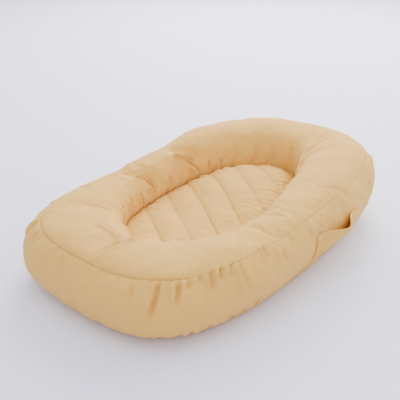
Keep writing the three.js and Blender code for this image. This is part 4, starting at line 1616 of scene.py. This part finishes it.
class LOUNGER_OT_zip_coils(Maker):
    """Makes the zip's two rows of coil and the stops at their ends"""

    bl_idname = "lounger.zip_coils"
    bl_label = "Zip coils and stops"

    def execute(self, context):
        pitch, tooth_wide = 0.0015, 0.00078
        core_wide, core_half = 0.0009, 0.0006
        end_gap = 0.0002
        for word, side in (("near", -1), ("far", 1)):
            low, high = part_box(f"zip_teeth_{word}")
            inner, outer = (high.y, low.y) if side < 0 else (low.y, high.y)
            count = int((high.x - low.x - 2 * end_gap) / pitch) - 1
            start = low.x + end_gap + (pitch / 2 if side > 0 else 0.0)
            middle = (low.z + high.z) / 2
            tooth = slab("tooth", (start, min(inner, outer) + 0.00002, low.z + 0.0001),
                         (start + tooth_wide, max(inner, outer) - 0.0002, high.z - 0.0001),
                         0.00032, 1)
            apply_modifier(tooth, "ARRAY", count=count, use_relative_offset=False,
                           use_constant_offset=True, constant_offset_displace=(pitch, 0, 0))
            core_low = outer - core_wide if side > 0 else outer
            core_high = outer if side > 0 else outer + core_wide
            core = slab("core", (low.x, core_low, middle - core_half),
                        (high.x, core_high, middle + core_half), 0.0002, 1)
            piece = join(f"zip_coil_{word}", [tooth, core])
            smooth_edges(piece, "zip_coil")
            finish_piece(piece, "lounger", "zip_coil", f"zip_teeth_{word}")
        for word in ("foot", "head"):
            low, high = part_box(f"zip_stop_{word}")
            piece = slab(f"zip_stop_{word}_clamp", low, high, 0.0005, 3)
            for share in (0.33, 0.67):
                x = low.x + (high.x - low.x) * share
                for z in (low.z, high.z):
                    cut(piece, slab("nick", (x - 0.00018, low.y - 0.001, z - 0.0002),
                                    (x + 0.00018, high.y + 0.001, z + 0.0002)))
            smooth_edges(piece, "zip_metal")
            finish_piece(piece, "lounger", "zip_metal", f"zip_stop_{word}")
        return {"FINISHED"}


class LOUNGER_OT_zip_slider(Maker):
    """Makes the zip's slider: two plates, the post between them and the bail"""

    bl_idname = "lounger.zip_slider"
    bl_label = "Zip slider"

    def execute(self, context):
        low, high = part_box("zip_slider")
        x, y = (low.x + high.x) / 2, (low.y + high.y) / 2
        plate, mouth = 0.0013, 0.003  # a plate's thickness, and the space between the two
        bar_reach, bar_thick = 0.0051, 0.001
        post_at, post_half = 0.0046, 0.0005
        sunk = 0.0002  # how far one part runs into the next
        bottom = high.z - 2 * plate - mouth
        lower = slab("lower", (low.x, low.y, bottom), (high.x, high.y, bottom + plate), 0.0005, 3)
        upper = slab("upper", (low.x, low.y, high.z - plate), (high.x, high.y, high.z), 0.0005, 3)
        for part in (lower, upper):
            taper(part, y, low.x, high.x)
        web = slab("web", (x - 0.004, y - 0.0003, bottom + sunk),
                   (x + 0.004, y + 0.0003, high.z - sunk))
        bar = slab("bar", (x - bar_reach, y - bar_thick, low.z),
                   (x + bar_reach, y + bar_thick, low.z + bar_thick), 0.00035, 3)
        posts = [
            slab("post", (x + way * post_at - post_half, y - bar_thick, low.z + sunk),
                 (x + way * post_at + post_half, y + bar_thick, bottom + 0.0006), 0.0003, 2)
            for way in (-1, 1)]
        piece = unite("zip_slider_body", [lower, upper, web, bar, *posts])
        smooth_edges(piece, "zip_metal")
        finish_piece(piece, "slider", "zip_metal", "zip_slider")
        return {"FINISHED"}


def taper(part, y, low, high):
    """Narrows a plate towards the end where the rows of teeth have met."""
    length = high - low
    for vertex in part.data.vertices:
        share = (vertex.co.x - low) / length
        vertex.co.y = y + (vertex.co.y - y) * (1 - 0.22 * max(0.0, 1 - 2.2 * share) ** 1.4)


class LOUNGER_OT_zip_pull(Maker):
    """Makes the pull tab, with the window that the bail passes through"""

    bl_idname = "lounger.zip_pull"
    bl_label = "Zip pull"

    def execute(self, context):
        low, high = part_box("zip_pull")
        y = (low.y + high.y) / 2
        half = (high.y - low.y) / 2
        piece = slab("pull", (low.x + half, low.y, low.z), (high.x, high.y, high.z))
        bpy.ops.object.select_all(action="DESELECT")
        bpy.ops.mesh.primitive_cylinder_add(
            vertices=48, radius=half, depth=high.z - low.z,
            location=(low.x + half, y, (low.z + high.z) / 2))
        tip = bpy.context.active_object
        bpy.ops.object.transform_apply(location=True, rotation=True, scale=True)
        piece = unite("zip_pull_tab", [piece, tip])
        end_bar, window_long, rail, past = 0.0012, 0.0056, 0.002, 0.001
        window = (high.x - end_bar - window_long, high.x - end_bar)
        cut(piece, slab("window", (window[0], y - half + rail, low.z - past),
                        (window[1], y + half - rail, high.z + past)))
        edge, deep = 0.0019, 0.0002  # of the shallow panel pressed into each face
        for z in (low.z, high.z):
            cut(piece, slab("panel", (low.x + 0.003, y - half + edge, z - deep),
                            (window[0] - 0.002, y + half - edge, z + deep)))
        apply_modifier(piece, "BEVEL", width=0.00022, segments=2, limit_method="ANGLE")
        smooth_edges(piece, "zip_metal")
        finish_piece(piece, "pull", "zip_metal", "zip_pull")
        return {"FINISHED"}


class LOUNGER_OT_care_label(Maker):
    """Makes the blank care label, sewn in beside the zip"""

    bl_idname = "lounger.care_label"
    bl_label = "Care label"

    def execute(self, context):
        low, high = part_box("care_label")
        u, v = np.meshgrid(np.linspace(0, 1, 39), np.linspace(0, 1, 41), indexing="ij")
        x, y = low.x + (high.x - low.x) * u, low.y + (high.y - low.y) * v
        points = np.stack([x, y, np.full_like(u, high.z)], -1)
        curl = v ** 2
        points[..., 2] -= 0.0016 * curl + 0.0007 * curl * (1 + np.sin(9 * u + 2 * v))
        faces = grid_faces(*u.shape, False, False)
        piece = new_piece("care_label_cloth", points, faces, "label_cloth", points[..., :2])
        lay_faces(piece, 1)
        thicken(piece, high.z - low.z - 0.0002)
        finish_piece(piece, "lounger", "label_cloth", "care_label")
        return {"FINISHED"}


class LOUNGER_OT_stage(Maker):
    """Makes the floor, the lights and the camera"""

    bl_idname = "lounger.stage"
    bl_label = "Stage"

    def execute(self, context):
        stage = context.scene.lounger_stage
        bpy.ops.object.select_all(action="DESELECT")
        bpy.ops.mesh.primitive_plane_add(size=24, location=(0, 0, 0))
        floor = context.active_object
        floor.name = "floor"
        paper = Finish("stage_floor", stage.floor, roughness=0.62, specular=0.3)
        floor.data.materials.append(paper.material)
        world = bpy.data.worlds.new("studio")
        world.use_nodes = True
        glow = world.node_tree.nodes["Background"]
        glow.inputs[0].default_value = (0.81, 0.86, 1.0, 1)
        glow.inputs[1].default_value = 1.5
        context.scene.world = world
        aim = Vector((RING_CENTRE.x, RING_CENTRE.y, 0.06))
        lamps = (
            ("key", (2.0, 1.3, 1.6), 1.8, 128.0, (1.0, 0.985, 0.97)),
            ("right", (2.2, -0.7, 1.5), 1.6, 40.0, (1.0, 0.99, 0.98)),
            ("overhead", (-0.3, 0.1, 2.6), 2.4, 30.0, (0.97, 0.98, 1.0)),
            ("front", (-1.3, -1.9, 1.5), 1.8, 14.0, (1.0, 0.99, 0.98)),
        )
        for name, place, size, power, color in lamps:
            lamp = bpy.data.lights.new(name, "AREA")
            lamp.size, lamp.energy, lamp.color = size, power, color
            holder = bpy.data.objects.new(name, lamp)
            holder.location = place
            holder.rotation_euler = (aim - Vector(place)).to_track_quat("-Z", "Y").to_euler()
            context.scene.collection.objects.link(holder)
        lens = bpy.data.cameras.new("camera")
        lens.lens, lens.sensor_width = stage.lens, 36
        lens.clip_start, lens.clip_end = 0.05, 60
        camera = bpy.data.objects.new("camera", lens)
        a, e = stage.azimuth, stage.elevation
        back = Vector((math.sin(a) * math.cos(e), -math.cos(a) * math.cos(e), math.sin(e)))
        target = Vector((RING_CENTRE.x, RING_CENTRE.y, 0)) + Vector(stage.aim)
        camera.location = target + back * stage.distance
        camera.rotation_euler = (-back).to_track_quat("-Z", "Y").to_euler()
        context.scene.collection.objects.link(camera)
        context.scene.camera = camera
        return {"FINISHED"}


OPERATORS = (
    LOUNGER_OT_stage,
    LOUNGER_OT_rim_panel,
    LOUNGER_OT_side_band,
    LOUNGER_OT_centre_panel,
    LOUNGER_OT_base_panels,
    LOUNGER_OT_strap,
    LOUNGER_OT_insert_casing,
    LOUNGER_OT_baffles,
    LOUNGER_OT_fills,
    LOUNGER_OT_pad,
    LOUNGER_OT_zip_tapes,
    LOUNGER_OT_zip_coils,
    LOUNGER_OT_zip_slider,
    LOUNGER_OT_zip_pull,
    LOUNGER_OT_care_label,
)


class LOUNGER_PT_main(bpy.types.Panel):
    """The lounger's settings and the operators that make its pieces"""

    bl_idname = "LOUNGER_PT_main"
    bl_label = "Lounger"
    bl_space_type = "VIEW_3D"
    bl_region_type = "UI"
    bl_category = "Lounger"

    def draw(self, context):
        for name, settings in SETTINGS.items():
            box = self.layout.box()
            box.label(text=settings.__doc__)
            for prop in settings.__annotations__:
                box.prop(getattr(context.scene, name), prop)
        for operator in OPERATORS:
            self.layout.operator(operator.bl_idname)


CLASSES = (*SETTINGS.values(), *OPERATORS, LOUNGER_PT_main)


def register():
    for made in CLASSES:
        bpy.utils.register_class(made)
    for name, settings in SETTINGS.items():
        setattr(bpy.types.Scene, name, PointerProperty(type=settings))


def unregister():
    for name in SETTINGS:
        delattr(bpy.types.Scene, name)
    for made in reversed(CLASSES):
        bpy.utils.unregister_class(made)


def main():
    register()
    for operator in OPERATORS:
        area, name = operator.bl_idname.split(".")
        getattr(getattr(bpy.ops, area), name)()


if __name__ == "__main__":
    main()
